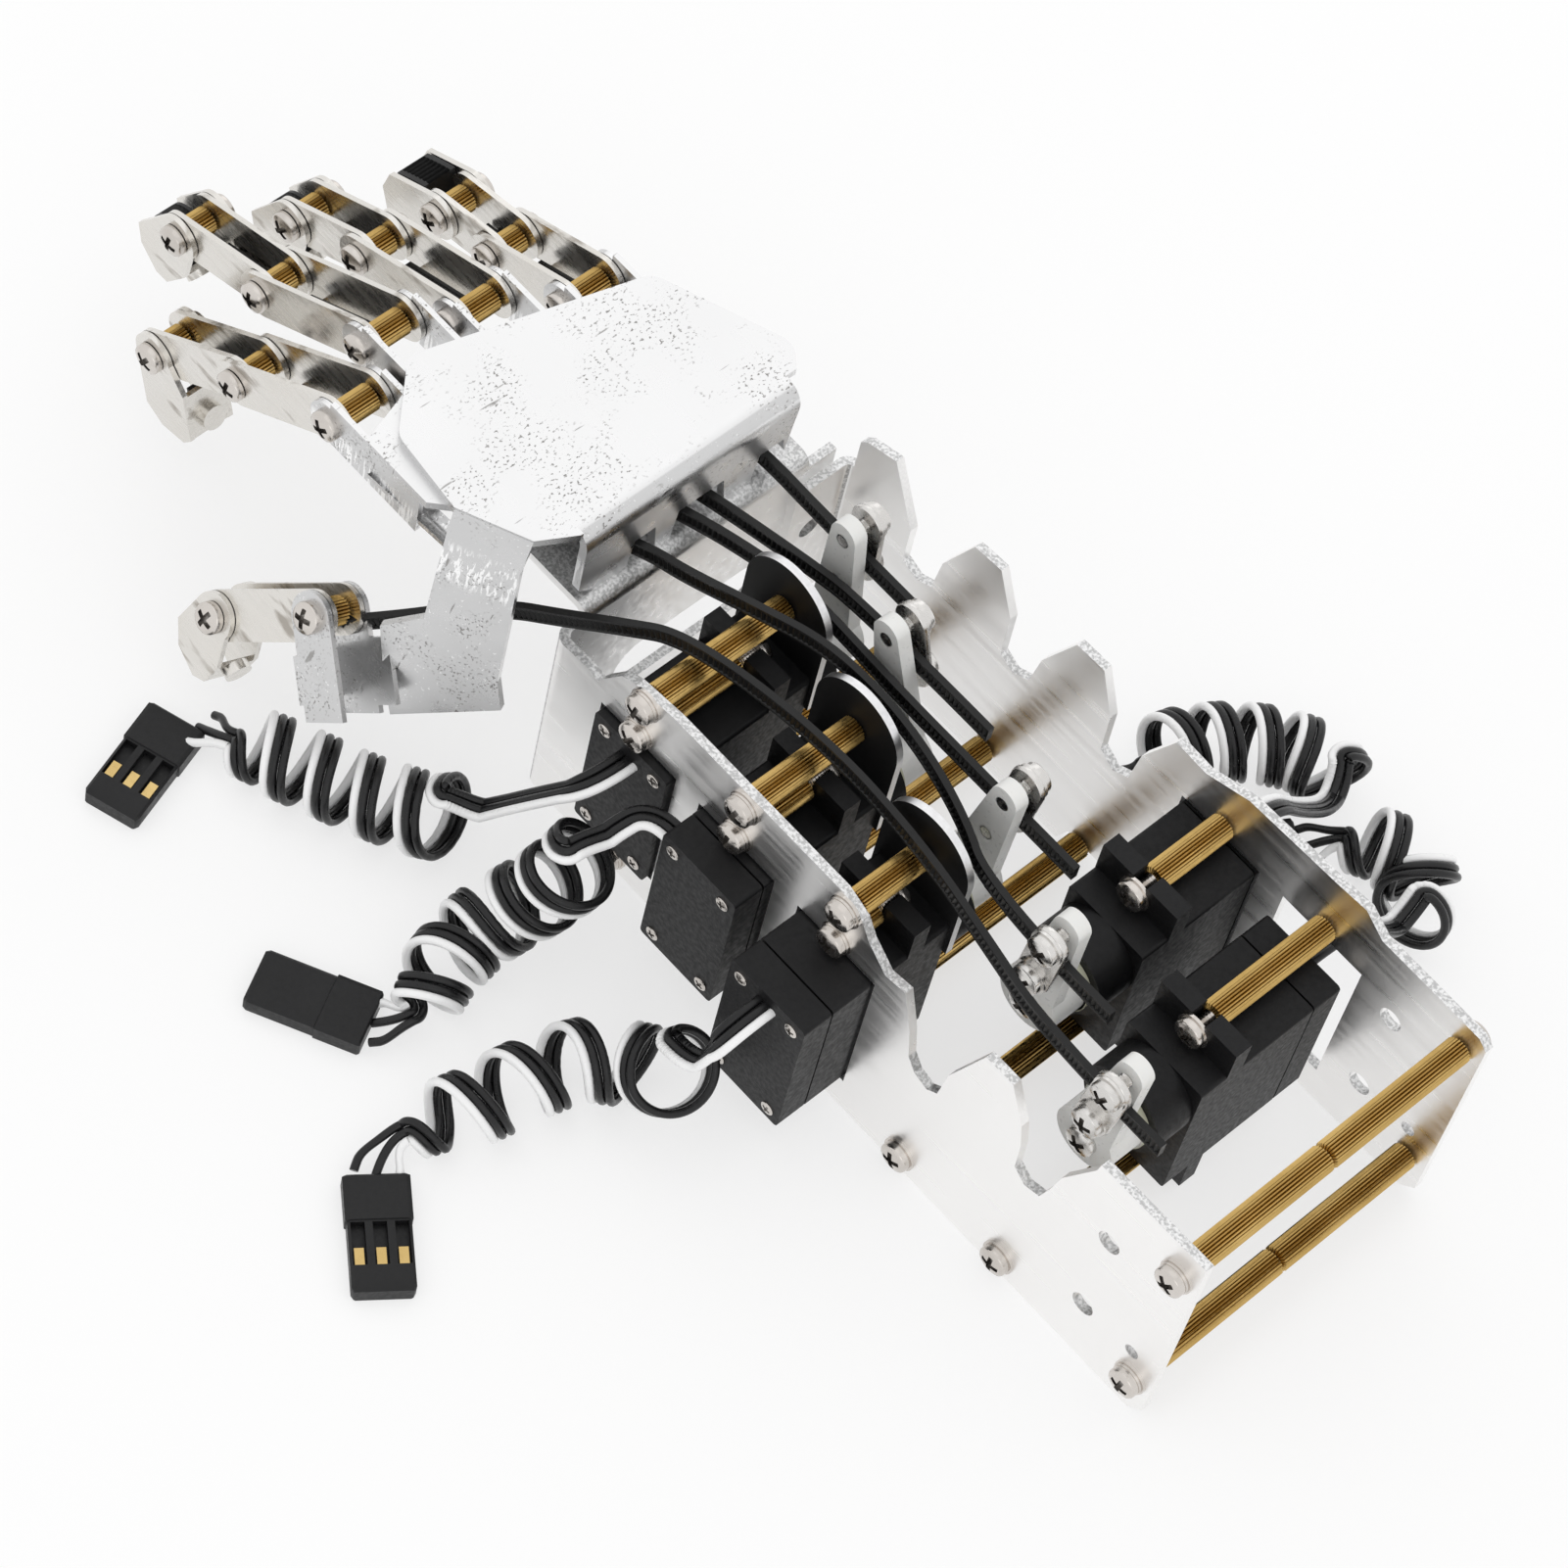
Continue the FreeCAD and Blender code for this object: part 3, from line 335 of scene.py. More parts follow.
def turned(start, end, stations, radii, columns, flutes=0, depth=0.0):
    """A turned bar: at each station along the axis a ring whose radius is the station's radius less
    half the flute depth times one minus the cosine of the flute count times the angle."""
    first, second, along = frame_of(np.array(end) - np.array(start))
    angle = np.linspace(0, 2 * np.pi, columns, endpoint=False)
    cut = depth * 0.5 * (1 - np.cos(flutes * angle))
    full = np.array(radii)[:, None]
    ring = np.maximum(full - cut[None, :] * (full > 0), 0)
    spot = np.array(start) + np.array(stations)[:, None, None] * along
    outward = np.cos(angle)[None, :, None] * first + np.sin(angle)[None, :, None] * second
    return spot + ring[..., None] * outward


def fluted_bar(start, end, r=bar_r):
    """A fluted bar between two points, with plain chamfers at its ends: six rings and five bands."""
    long = np.linalg.norm(np.array(end) - np.array(start))
    low = r - flute_depth - bar_chamfer
    stations = [0, 0, bar_chamfer, long - bar_chamfer, long, long]
    return turned(start, end, stations, [0, low, r, r, low, 0], flute_count * flute_columns,
                  flute_count, flute_depth)


def groove_shade_marks():
    """One for the groove-bottom faces, which get painted shade: the two beside each groove's middle
    column.
    """
    column = np.arange(flute_count * flute_columns) % flute_columns
    groove = (column == flute_columns // 2 - 1) | (column == flute_columns // 2)
    return np.tile(groove, bar_bands).astype(int)


def make_piece(name, patches, mats, body, replaced=(), picks=None, crease=sharp_from):
    """One object from closed grids of points: rows run along a patch and its columns close on
    themselves. Picks give each patch, or each of its faces, one of the materials. Doubled points are
    merged and the faces turned outwards."""
    points, faces, which = [], [], []
    start = 0
    for k, grid in enumerate(patches):
        rows, columns = grid.shape[:2]
        index = start + np.arange(rows * columns).reshape(rows, columns)
        beside = np.roll(index, -1, axis=1)
        quads = np.stack([index[:-1], beside[:-1], beside[1:], index[1:]], axis=-1).reshape(-1, 4)
        points.append(grid.reshape(-1, 3))
        faces.append(quads)
        which.append(np.broadcast_to(0 if picks is None else picks[k], len(quads)))
        start += rows * columns
    mesh = bpy.data.meshes.new(name)
    mesh.from_pydata(np.concatenate(points).tolist(), [], np.concatenate(faces).tolist())
    mesh.polygons.foreach_set("material_index", np.concatenate(which).astype(np.int32))
    for mat in mats:
        mesh.materials.append(mat)
    shell = bmesh.new()
    shell.from_mesh(mesh)
    bmesh.ops.remove_doubles(shell, verts=shell.verts, dist=merge_gap)
    bmesh.ops.dissolve_degenerate(shell, edges=shell.edges, dist=merge_gap / 10)
    bmesh.ops.recalc_face_normals(shell, faces=shell.faces)
    shell.to_mesh(mesh)
    shell.free()
    mesh.polygons.foreach_set("use_smooth", np.ones(len(mesh.polygons), bool))
    mesh.set_sharp_from_angle(angle=crease)
    piece = bpy.data.objects.new(name, mesh)
    scene.collection.objects.link(piece)
    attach(piece, body)
    if replaced:
        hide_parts(*replaced)
    return piece


inner_y = 0.022
upper_z, strap_z, lower_z = 0.0310, 0.0370, 0.0032
case_top = 0.0066
ear_thick = 0.0025
washer_thick = 0.0004
bars = []
for i, x in enumerate(servo_x):
    s = servo_side[i]
    wall = -s * inner_y
    bars.append(fluted_bar(place(x, wall, upper_z), place(x, ear_y[i], upper_z)))
    bars.append(fluted_bar(place(x, wall, lower_z), place(x, ear_y[i], lower_z)))
    if i < 3:
        bars.append(fluted_bar(place(x, wall, strap_z), place(x, ear_y[i] + s * case_top, strap_z)))
    ear_face = ear_y[i] + s * (ear_thick + washer_thick)
    bars.append(fluted_bar(place(x, ear_face, lower_z), place(x, -wall, lower_z)))
make_piece("brass_standoffs", bars, [brass, brass_groove_shade], "frame", ["servo_standoffs"],
           [groove_shade_marks()] * len(bars))
cross_x = 0.0029
cross_z = (0.0065, 0.0330)
rows = []
for z in cross_z:
    for side in (-1, 1):
        rows.append(fluted_bar(place(cross_x, 0, z), place(cross_x, side * inner_y, z)))
make_piece("brass_cross_rows", rows, [brass, brass_groove_shade], "frame", ["cross_standoffs"],
           [groove_shade_marks()] * len(rows))

# Side tab: a short gutter of the palm's bright sheet. It runs forward from the side flange,
# below the palm's edge, and its middle lies a little lower than its two sides.
tab_columns = 9
tab_start, tab_end = place(0.1322, 0.0289, 0.0398), place(0.1186, 0.0280, 0.0398)
tab_half, tab_rise, tab_thick = 0.0014, 0.0010, 0.0007
across = np.linspace(-1, 1, tab_columns)
skin = np.stack([np.zeros(tab_columns), tab_half * across, tab_rise * across ** 2], axis=1)
loop = np.concatenate([skin, skin[::-1] - (0, 0, tab_thick)])
gutter = [tab_start + loop, tab_end + loop]
gutter = np.array([np.broadcast_to(gutter[0].mean(axis=0), loop.shape), *gutter,
                   np.broadcast_to(gutter[1].mean(axis=0), loop.shape)])
make_piece("side_tab", [gutter], [palm_metal], "frame")

# Screws: plated pan heads with a cross recess over a thin washer, and a threaded shank.
# They hold the standoffs to the plates and the servos' ears to the standoffs.
screw_steel = clouded("screw_steel", (0.52, 0.485, 0.45), (0.74, 0.70, 0.66), 1.0, (0.14, 0.28))
# The cross recess's faces take a darker steel: painted shade inside the recess.
recess_shade_steel = clouded("recess_shade_steel", (0.16, 0.15, 0.14), (0.40, 0.38, 0.36), 1.0, (0.25, 0.4))
head_r = 0.0020
head_height = 0.0014
shank_r = 0.00095
washer_r = 0.0023
washer_step = 0.0002
washer_columns = 32
thread_pitch = 0.0004
thread_depth = 0.00018
thread_columns = 16
screw_bite = 0.0002
strap_thick = 0.001
dome_fall = 0.36
rim_level = 0.56
recess_share = 0.64
recess_half = 0.17
recess_sink, recess_ease = 0.62, 0.3
turns_of_head = np.random.default_rng(7)

# A head's rings as shares of its radius. The recess fills the first three, has arms alone in the
# next three, and ends there; the last two close the rim and the underside.
recess_hub = 3
recess_rings = 6
rim_ring = 10
recess_corner = recess_half * 2 ** 0.5
head_rings = np.array([0.0, 0.12, recess_corner, recess_corner, 0.44, recess_share, recess_share,
                       0.74, 0.86, 0.95, 1.0, 1.0, 0.0])
arm_columns = 4
top_columns = 6
head_columns = 4 * (arm_columns + top_columns)


def recess_rows():
    """Which grid points are sunk: all of the three inner rings, then the arms' columns alone for
    three rings more, and none further out."""
    arms = np.tile(np.arange(arm_columns + top_columns) < arm_columns, 4)
    sunk = np.zeros((len(head_rings), head_columns), bool)
    sunk[:recess_hub] = True
    sunk[recess_hub:recess_rings] = arms
    return sunk


head_sunk = recess_rows()
# The faces in and beside the recess, out to its last ring, get the painted recess shade.
beside_sunk = np.roll(head_sunk, -1, axis=1)
recess_shade_marks = (head_sunk[:-1] | beside_sunk[:-1] | head_sunk[1:] | beside_sunk[1:])
recess_shade_marks = recess_shade_marks.astype(int).reshape(-1)
recess_shade_marks[np.arange(len(recess_shade_marks)) // head_columns >= recess_rings] = 0


def pan_head(seat, direction, r=head_r, height=head_height):
    """A dome whose height falls with the square of the radius. Its columns follow the edges of a
    cross recess: at each radius an arm spans plus and minus the arcsine of half its width over the
    radius. Each head is turned by a random part of a quarter turn."""
    first, second, along = frame_of(direction)
    half = np.arcsin(np.clip(recess_half / np.maximum(head_rings, 1e-6), 0, np.sin(np.pi / 4)))
    half[recess_rings:] = half[recess_rings - 1]
    arm = np.linspace(-1, 1, arm_columns)[None, :] * half[:, None]
    top = half[:, None] + np.linspace(0, 1, top_columns)[None, :] * (np.pi / 2 - 2 * half[:, None])
    quarter = np.concatenate([arm, top], axis=1)
    angle = np.concatenate([quarter + k * np.pi / 2 for k in range(4)], axis=1)
    angle = angle + turns_of_head.uniform(0, np.pi / 2)
    level = height * (1 - dome_fall * head_rings ** 2)
    level[rim_ring] = height * rim_level
    level[rim_ring + 1:] = 0.0
    sink = head_sunk * height * (recess_sink - recess_ease * head_rings[:, None])
    lift = level[:, None] - sink
    u = r * head_rings[:, None] * np.cos(angle)
    v = r * head_rings[:, None] * np.sin(angle)
    return np.array(seat) + u[..., None] * first + v[..., None] * second + lift[..., None] * along


def washer(seat, direction, r=washer_r):
    """A flat ring, closed into its own hole."""
    stations = [0, 0, washer_thick, washer_thick, 0]
    return turned(seat, np.array(seat) + np.array(direction, float), stations,
                  [shank_r, r, r, shank_r, shank_r], washer_columns)


def thread(start, end):
    """A threaded shank: radii that go up and down once for each pitch."""
    long = np.linalg.norm(np.array(end) - np.array(start))
    count = max(2, int(long / thread_pitch))
    stations = np.linspace(0, long, 2 * count + 1)
    radii = np.where(np.arange(2 * count + 1) % 2 == 0, shank_r, shank_r - thread_depth)
    return turned(start, end, np.concatenate([[0], stations, [long]]),
                  np.concatenate([[0], radii, [0]]), thread_columns)


def screw_set(seat, direction, shank, stack=1):
    """Head, washers and shank: the seat is the face that the lowest washer lies on."""
    direction = np.array(direction, float)
    seat = np.array(seat)
    grids = [washer(seat + direction * washer_thick * k, direction, washer_r - washer_step * k)
             for k in range(stack)]
    grids.append(pan_head(seat + direction * washer_thick * stack, direction))
    grids.append(thread(seat - direction * shank, seat + direction * screw_bite))
    return grids, [0] * stack + [recess_shade_marks, 0]


screws, marks = [], []


def add_screw(seat, direction, shank, stack=1):
    """Put one screw set into the list of plate screws."""
    grids, kinds = screw_set(seat, direction, shank, stack)
    screws.extend(grids)
    marks.extend(kinds)


for i, x in enumerate(servo_x):
    s = servo_side[i]
    wall = -s * (inner_y + sheet)
    for z in (upper_z, strap_z, lower_z):
        if z != strap_z or i < 3:
            add_screw(place(x, wall, z), (0, -s, 0), sheet, 2)
    add_screw(place(x, -wall, lower_z), (0, s, 0), sheet)
    add_screw(place(x, ear_y[i] + s * ear_thick, upper_z), (0, s, 0), ear_thick)
    stud_end = ear_y[i] + s * (ear_thick + washer_thick)
    screws.append(thread(place(x, ear_y[i], lower_z), place(x, stud_end, lower_z)))
    screws.append(washer(place(x, ear_y[i] + s * ear_thick, lower_z), (0, s, 0)))
    marks += [0, 0]
    if i < 3:
        add_screw(place(x, ear_y[i] + s * (case_top + strap_thick), strap_z), (0, s, 0), strap_thick)
for z in cross_z:
    for side in (-1, 1):
        add_screw(place(cross_x, side * (inner_y + sheet), z), (0, side, 0), sheet, 2)
make_piece("plate_screws", screws, [screw_steel, recess_shade_steel], "frame",
           ["frame_screws"], marks)

# Cover screws: four tiny plated screws hold each servo's back cover.
# One sits sunk in each corner, with the same cross recess as the larger heads.
cover_y = (0.0243, 0.0288, 0.0335, -0.0261, -0.0191)
cover_reach = (0.0042, 0.0095)
cover_mid_z = 0.0171
cover_sink = 0.0001
cover_head_r, cover_head_height = 0.00095, 0.00042
small, small_marks = [], []
for i, x in enumerate(servo_x):
    out = -servo_side[i]
    for side in (-1, 1):
        for rise in (-1, 1):
            seat = place(x + side * cover_reach[0], cover_y[i] - out * cover_sink,
                         cover_mid_z + rise * cover_reach[1])
            small.append(pan_head(seat, (0, out, 0), cover_head_r, cover_head_height))
            small_marks.append(recess_shade_marks)
make_piece("cover_screws", small, [screw_steel, recess_shade_steel], "frame",
           ["servo_cover_screws"], small_marks)

# Horns and clamps: white nylon arms on the servos' output wheels, each with a small plated clamp
# that two screws press over the pull strip.
nylon = clouded("nylon", (0.76, 0.76, 0.735), (0.86, 0.86, 0.845), 0.0, (0.26, 0.42))
nylon_shader = nylon.node_tree.nodes["Principled BSDF"]
nylon_shader.inputs["Subsurface Weight"].default_value = 0.2
nylon_shader.inputs["Subsurface Radius"].default_value = (0.0012, 0.0011, 0.001)
raised(nylon, noise(nylon, 1600, detail=1), 0.00002)
wheel_cream = clouded("wheel_cream", (0.50, 0.50, 0.37), (0.62, 0.62, 0.49), 0.0, (0.3, 0.5))
clamp_steel = clouded("clamp_steel", (0.56, 0.545, 0.525), (0.80, 0.785, 0.765), 1.0, (0.16, 0.34))
axis_z = 0.0226
arm_lean = (4.0, 18.0, -6.0, -5.0, -7.0)
wheel_start = 0.01205
wheel_long = 0.0009
wheel_hole_r, wheel_r = 0.0040, 0.0047
wheel_columns = 48
hub_rise = 0.0049
arm_top = wheel_start + wheel_long + hub_rise
arm_thick = 0.0020
clamp_gap = 0.0017
clamp_thick = 0.0009
pad_r = 0.0025
clamp_reach = (0.0179, 0.0103)
clamp_columns = 60
clamp_tooth = 0.965
clamp_rim = ((0, 0), (0.94, 0), (1, 0.2), (1, 0.8), (0.94, 1), (0, 1))


def clamp_plate(middle, up, out):
    """A plate with round ends: at each angle the pad's radius, a shade less on every second column,
    moved along the arm by half the screws' distance towards its own end. The rim is drawn in by two
    small chamfers."""
    angle = np.linspace(0, 2 * np.pi, clamp_columns, endpoint=False)
    half = (clamp_reach[0] - clamp_reach[1]) / 2
    side = np.cross(out, up)
    tooth = np.where(np.arange(clamp_columns) % 2 == 0, 1.0, clamp_tooth)
    rows = []
    for share, level in clamp_rim:
        r = pad_r * share * (tooth if share == 1 else 1.0)
        reach = half * np.sign(np.sin(angle) + 1e-9) * (share > 0)
        rows.append(middle + (r * np.cos(angle))[:, None] * side
                    + (r * np.sin(angle) + reach)[:, None] * up + level * clamp_thick * out)
    return np.array(rows)


for i, x in enumerate(servo_x):
    n = i + 1
    repaint("horn_%d" % n, nylon)
    s = servo_side[i]
    out = np.array([0.0, s, 0.0])
    lean = np.radians(arm_lean[i])
    up = np.array([np.sin(lean), 0.0, np.cos(lean)])
    hub = place(x, ear_y[i] + s * arm_top, axis_z)
    grids = [clamp_plate(hub + up * sum(clamp_reach) / 2 + out * clamp_gap, up, out)]
    kinds = [0]
    seats = [hub + up * reach + out * (clamp_gap + clamp_thick) for reach in clamp_reach]
    for seat in seats:
        more, more_kinds = screw_set(seat, out, clamp_gap + clamp_thick + arm_thick)
        grids += more
        kinds += more_kinds
    grids.append(pan_head(hub, out))
    kinds.append(recess_shade_marks)
    make_piece("clamp_%d" % n, grids, [clamp_steel, recess_shade_steel], "horn_arm_%d" % n,
               ["horn_clamp_%d" % n], kinds)
    wheel = place(x, ear_y[i] + s * wheel_start, axis_z)
    ring = turned(wheel, wheel + out, [0, 0, wheel_long, wheel_long, 0],
                  [wheel_hole_r, wheel_r, wheel_r, wheel_hole_r, wheel_hole_r], wheel_columns)
    make_piece("wheel_ring_%d" % n, [ring], [wheel_cream], "horn_arm_%d" % n)

# Fingers: folded bright links with a warm tint, hinged on fluted brass spacers between screws.
# Each hinge point is an (x, z) place in its finger's own upright plane.
finger_y = {"a": 0.0258, "b": 0.0161, "c": 0.0056, "d": -0.0064}
hinges = {
    "a": ((0.1397, 0.0416), (0.1562, 0.0294), (0.1704, 0.0184)),
    "b": ((0.1456, 0.0416), (0.1637, 0.0305), (0.1783, 0.0254)),
    "c": ((0.1418, 0.0417), (0.1586, 0.0349), (0.1703, 0.0285)),
    "d": ((0.1359, 0.0416), (0.1490, 0.0359), (0.1581, 0.0338)),
}
link_sheet = 0.0007
middle_half = 0.0025
outer_half = 0.0033
lug_half = 0.0041
spacer_r = 0.0018
spacer_gap = 0.00005
head_gap = 0.0001


def folded_link(name, base):
    """Bright bent sheet: a warm tint in clouds, fine lengthwise lines and a few dark rubs."""
    mat = new_finish(name, base, 1.0, 0.26)
    tint = mixed(mat, noise(mat, 130), (base[0] * 0.9, base[1] * 0.88, base[2] * 0.84, 1), (*base, 1))
    rub = span(mat, noise(mat, 420, (0.3, 1, 1), 3), 0.3, 0.4, 1.0, 0.0)
    joined(mat, mixed(mat, rub, tint, (0.42, 0.39, 0.35, 1)), "Base Color")
    joined(mat, span(mat, noise(mat, 1200, (0.15, 1, 1)), 0.3, 0.7, 0.18, 0.36), "Roughness")
    raised(mat, noise(mat, 1800, (0.3, 1, 1), 2), 0.00002)
    return mat


link_metal = folded_link("link_metal", (0.78, 0.765, 0.74))
for name in "abcd":
    for k in (1, 2, 3):
        repaint("finger_%s_link_%d" % (name, k), link_metal)


def hinge_set(middle, axis, inner, outer):
    """A fluted spacer between the inner walls and a screw from each side, all on the hinge's axis."""
    axis = np.array(axis, float)
    grids = [fluted_bar(middle - axis * inner, middle + axis * inner, spacer_r)]
    kinds = [groove_shade_marks() * 3]
    for side in (-1, 1):
        seat = middle + axis * side * outer
        grids.append(pan_head(seat, axis * side))
        grids.append(thread(middle + axis * side * inner, seat + axis * side * screw_bite))
        kinds += [1 + recess_shade_marks, 1]
    return grids, kinds


# The fourth finish is the painted shade in the spacers' grooves.
# The third finish is the painted shade in the screws' cross recesses.
hinge_mats = [brass, screw_steel, recess_shade_steel, brass_groove_shade]
base_grids, base_kinds = [], []
for name in "abcd":
    axis = (0, 1, 0)
    middle = [place(hx, finger_y[name], hz) for hx, hz in hinges[name]]
    grids, kinds = hinge_set(middle[0], axis, outer_half - link_sheet - spacer_gap, lug_half)
    base_grids += grids
    base_kinds += kinds
    outer_grids, outer_kinds = [], []
    for point in middle[1:]:
        grids, kinds = hinge_set(point, axis, middle_half - link_sheet, outer_half + head_gap)
        outer_grids += grids
        outer_kinds += kinds
    make_piece("finger_%s_hinges" % name, outer_grids, hinge_mats, "finger_%s_2" % name,
               ["finger_%s_pins" % name], outer_kinds)

# Thumb: two folded links of the same bright sheet, hinged on the palm's bracket.
# Both hinges lean out of the main planes, along one shared axis.
thumb_base = np.array([0.12799, 0.03758, 0.02342])
thumb_axis = np.array([-0.098, -0.904, -0.417])
thumb_axis /= np.linalg.norm(thumb_axis)
thumb_run = np.array([0.7015, 0.2343, -0.6731])
thumb_run -= thumb_axis * (thumb_run @ thumb_axis)
thumb_run /= np.linalg.norm(thumb_run)
thumb_length = 0.0168
for node in ("thumb_link_1", "thumb_link_2"):
    repaint(node, link_metal)
thumb_origin = place(*thumb_base)
grids, kinds = hinge_set(thumb_origin, thumb_axis, middle_half - link_sheet - spacer_gap, outer_half)
base_grids += grids
base_kinds += kinds
make_piece("knuckle_hinges", base_grids, hinge_mats, "frame", ["base_hinge_pins"], base_kinds)
grids, kinds = hinge_set(thumb_origin + thumb_run * thumb_length, thumb_axis,
                         middle_half - link_sheet, outer_half + head_gap)
make_piece("thumb_hinge", grids, hinge_mats, "thumb_1", ["thumb_pins"], kinds)

# Pull strips: black nylon bands that stand on edge, moulded with teeth on both faces.
# They run from the horns' clamps to the knuckles.
strip_black = clouded("strip_black", (0.006, 0.006, 0.006), (0.014, 0.014, 0.014), 0.0, (0.3, 0.48),
                      0.3)
grip_z = 0.03605
strip_height = 0.0023
strip_thick = 0.0009
tooth_pitch = 0.0007
tooth_proud, tooth_back = 0.5, 0.22
rim_share, face_share = 0.36, 0.33
strip_routes = {
    "a": [(0.0796, -0.0103, grip_z), (0.0995, -0.0103, grip_z), (0.1070, -0.0104, 0.0363),
          (0.1180, -0.0096, 0.0362), (0.1270, -0.0076, 0.0362)],
    "b": [(0.0646, -0.0058, grip_z), (0.0864, -0.0058, grip_z), (0.0950, -0.0042, 0.0362),
          (0.1070, -0.0015, 0.0364), (0.1190, 0.0014, 0.0362), (0.1310, 0.0050, 0.0362)],
    "c": [(0.0454, -0.0011, grip_z), (0.0640, -0.0011, grip_z), (0.0744, -0.0009, 0.0364),
          (0.0912, -0.0014, 0.0366), (0.0975, -0.0004, 0.0366), (0.1070, 0.0021, 0.0364),
          (0.1220, 0.0080, 0.0362), (0.1340, 0.0136, 0.0362)],
    "d": [(0.0296, 0.0085, grip_z), (0.0500, 0.0085, grip_z), (0.0580, 0.0054, 0.0386),
          (0.0700, 0.0037, 0.0412), (0.0820, 0.0039, 0.0415), (0.0912, 0.0070, 0.0412),
          (0.1010, 0.0090, 0.0384), (0.1070, 0.0094, 0.0366), (0.1200, 0.0160, 0.0362),
          (0.1300, 0.0220, 0.0362)],
    "e": [(0.0142, 0.0155, grip_z), (0.0334, 0.0155, grip_z), (0.0440, 0.0144, 0.0384),
          (0.0576, 0.0132, 0.0412), (0.0744, 0.0126, 0.0412), (0.0934, 0.0158, 0.0411),
          (0.1005, 0.0196, 0.0382), (0.1066, 0.0226, 0.0351), (0.1125, 0.0248, 0.0316),
          (0.1175, 0.0281, 0.0278), (0.1224, 0.0326, 0.0242), (0.1270, 0.0368, 0.0214)],
}


def spline_line(name, points, step):
    """Points a step apart, read from a NURBS spline of order 3 on the route's control points."""
    curve = bpy.data.curves.new(name, "CURVE")
    curve.dimensions = "3D"
    spline = curve.splines.new("NURBS")
    spline.points.add(len(points) - 1)
    spline.points.foreach_set("co", [v for p in points for v in (*p, 1.0)])
    spline.order_u = 3
    spline.use_endpoint_u = True
    spline.resolution_u = 24
    holder = bpy.data.objects.new(name, curve)
    mesh = bpy.data.meshes.new_from_object(holder)
    line = np.array([v.co for v in mesh.vertices], float).reshape(-1, 3)
    bpy.data.meshes.remove(mesh)
    bpy.data.objects.remove(holder)
    bpy.data.curves.remove(curve)
    return even(line, step)


def even(line, step):
    """The same line with its points an even step apart."""
    along = np.concatenate([[0], np.cumsum(np.linalg.norm(np.diff(line, axis=0), axis=1))])
    at = np.linspace(0, along[-1], max(3, int(round(along[-1] / step)) + 1))
    return np.stack([np.interp(at, along, line[:, k]) for k in range(3)], axis=1)


def toothed_band(line, wide, thick, up):
    """A band carried along a line, wide along the up direction: between two plain rims both faces
    stand proud on every second row and fall back by 0.28 of the thickness on the others."""
    ahead = np.gradient(line, axis=0)
    ahead /= np.linalg.norm(ahead, axis=1)[:, None]
    side = np.cross(ahead, np.array(up, float))
    side /= np.linalg.norm(side, axis=1)[:, None]
    rise = np.cross(side, ahead)
    tooth = np.where(np.arange(len(line)) % 2 == 0, tooth_proud, tooth_back)[:, None]
    rail = np.full((len(line), 1), tooth_proud)
    face = [(rail, 0.5), (rail, rim_share), (tooth, face_share),
            (tooth, -face_share), (rail, -rim_share), (rail, -0.5)]
    lots = face + [(-t, w) for t, w in face[::-1]]
    rings = np.stack([line + side * (t * thick) + rise * (w * wide) for t, w in lots], axis=1)
    first = np.repeat(rings[:1].mean(axis=1, keepdims=True), rings.shape[1], axis=1)
    last = np.repeat(rings[-1:].mean(axis=1, keepdims=True), rings.shape[1], axis=1)
    return np.concatenate([first, rings, last])


for name, route in strip_routes.items():
    line = spline_line("strip_line_" + name, [place(*p) for p in route], tooth_pitch / 2)
    band = toothed_band(line, strip_height, strip_thick, (0, 0, 1))
    make_piece("toothed_strip_" + name, [band], [strip_black], "frame", ["pull_strip_" + name])

# Floor strips: each pull strip goes on inside its finger, flat on the floor of every link.
# In three fingers its end shows past the last hinge, bent back or as a thick stub.
link_r = 0.0031
tip_low = 0.0050
floor_wide = 0.0030
link_inset = (0.0034, 0.0038)
tip_inset = (0.0042, 0.0016)

# For each finger the tip's slope in degrees and its length
tips = {"a": (-107.0, 0.0120), "b": (-55.0, 0.0100), "c": (-58.0, 0.0100), "d": (-27.0, 0.0105)}

# A strip's end as (along, above) points in the tip's own plane, then its width and thickness
bent_end = ([(0.0076, -0.0036), (0.0090, -0.0016), (0.0086, 0.0010), (0.0064, 0.0024),
             (0.0042, 0.0022), (0.0026, 0.0008)], (0.0032, 0.0012))
block_end = ([(0.0024, 0.0012), (0.0048, 0.0014), (0.0074, 0.0012)], (0.0048, 0.0036))
strip_ends = {"b": bent_end, "c": bent_end, "d": block_end}


def floor_strip(start, ahead, rise, axis, begin, end, depth):
    """A toothed band along a straight line at an even depth below the hinge line."""
    share = np.linspace(0, 1, int((end - begin) / tooth_pitch * 2))[:, None]
    line = start + ahead * (begin + (end - begin) * share) - rise * depth
    return toothed_band(line, floor_wide, strip_thick, axis)


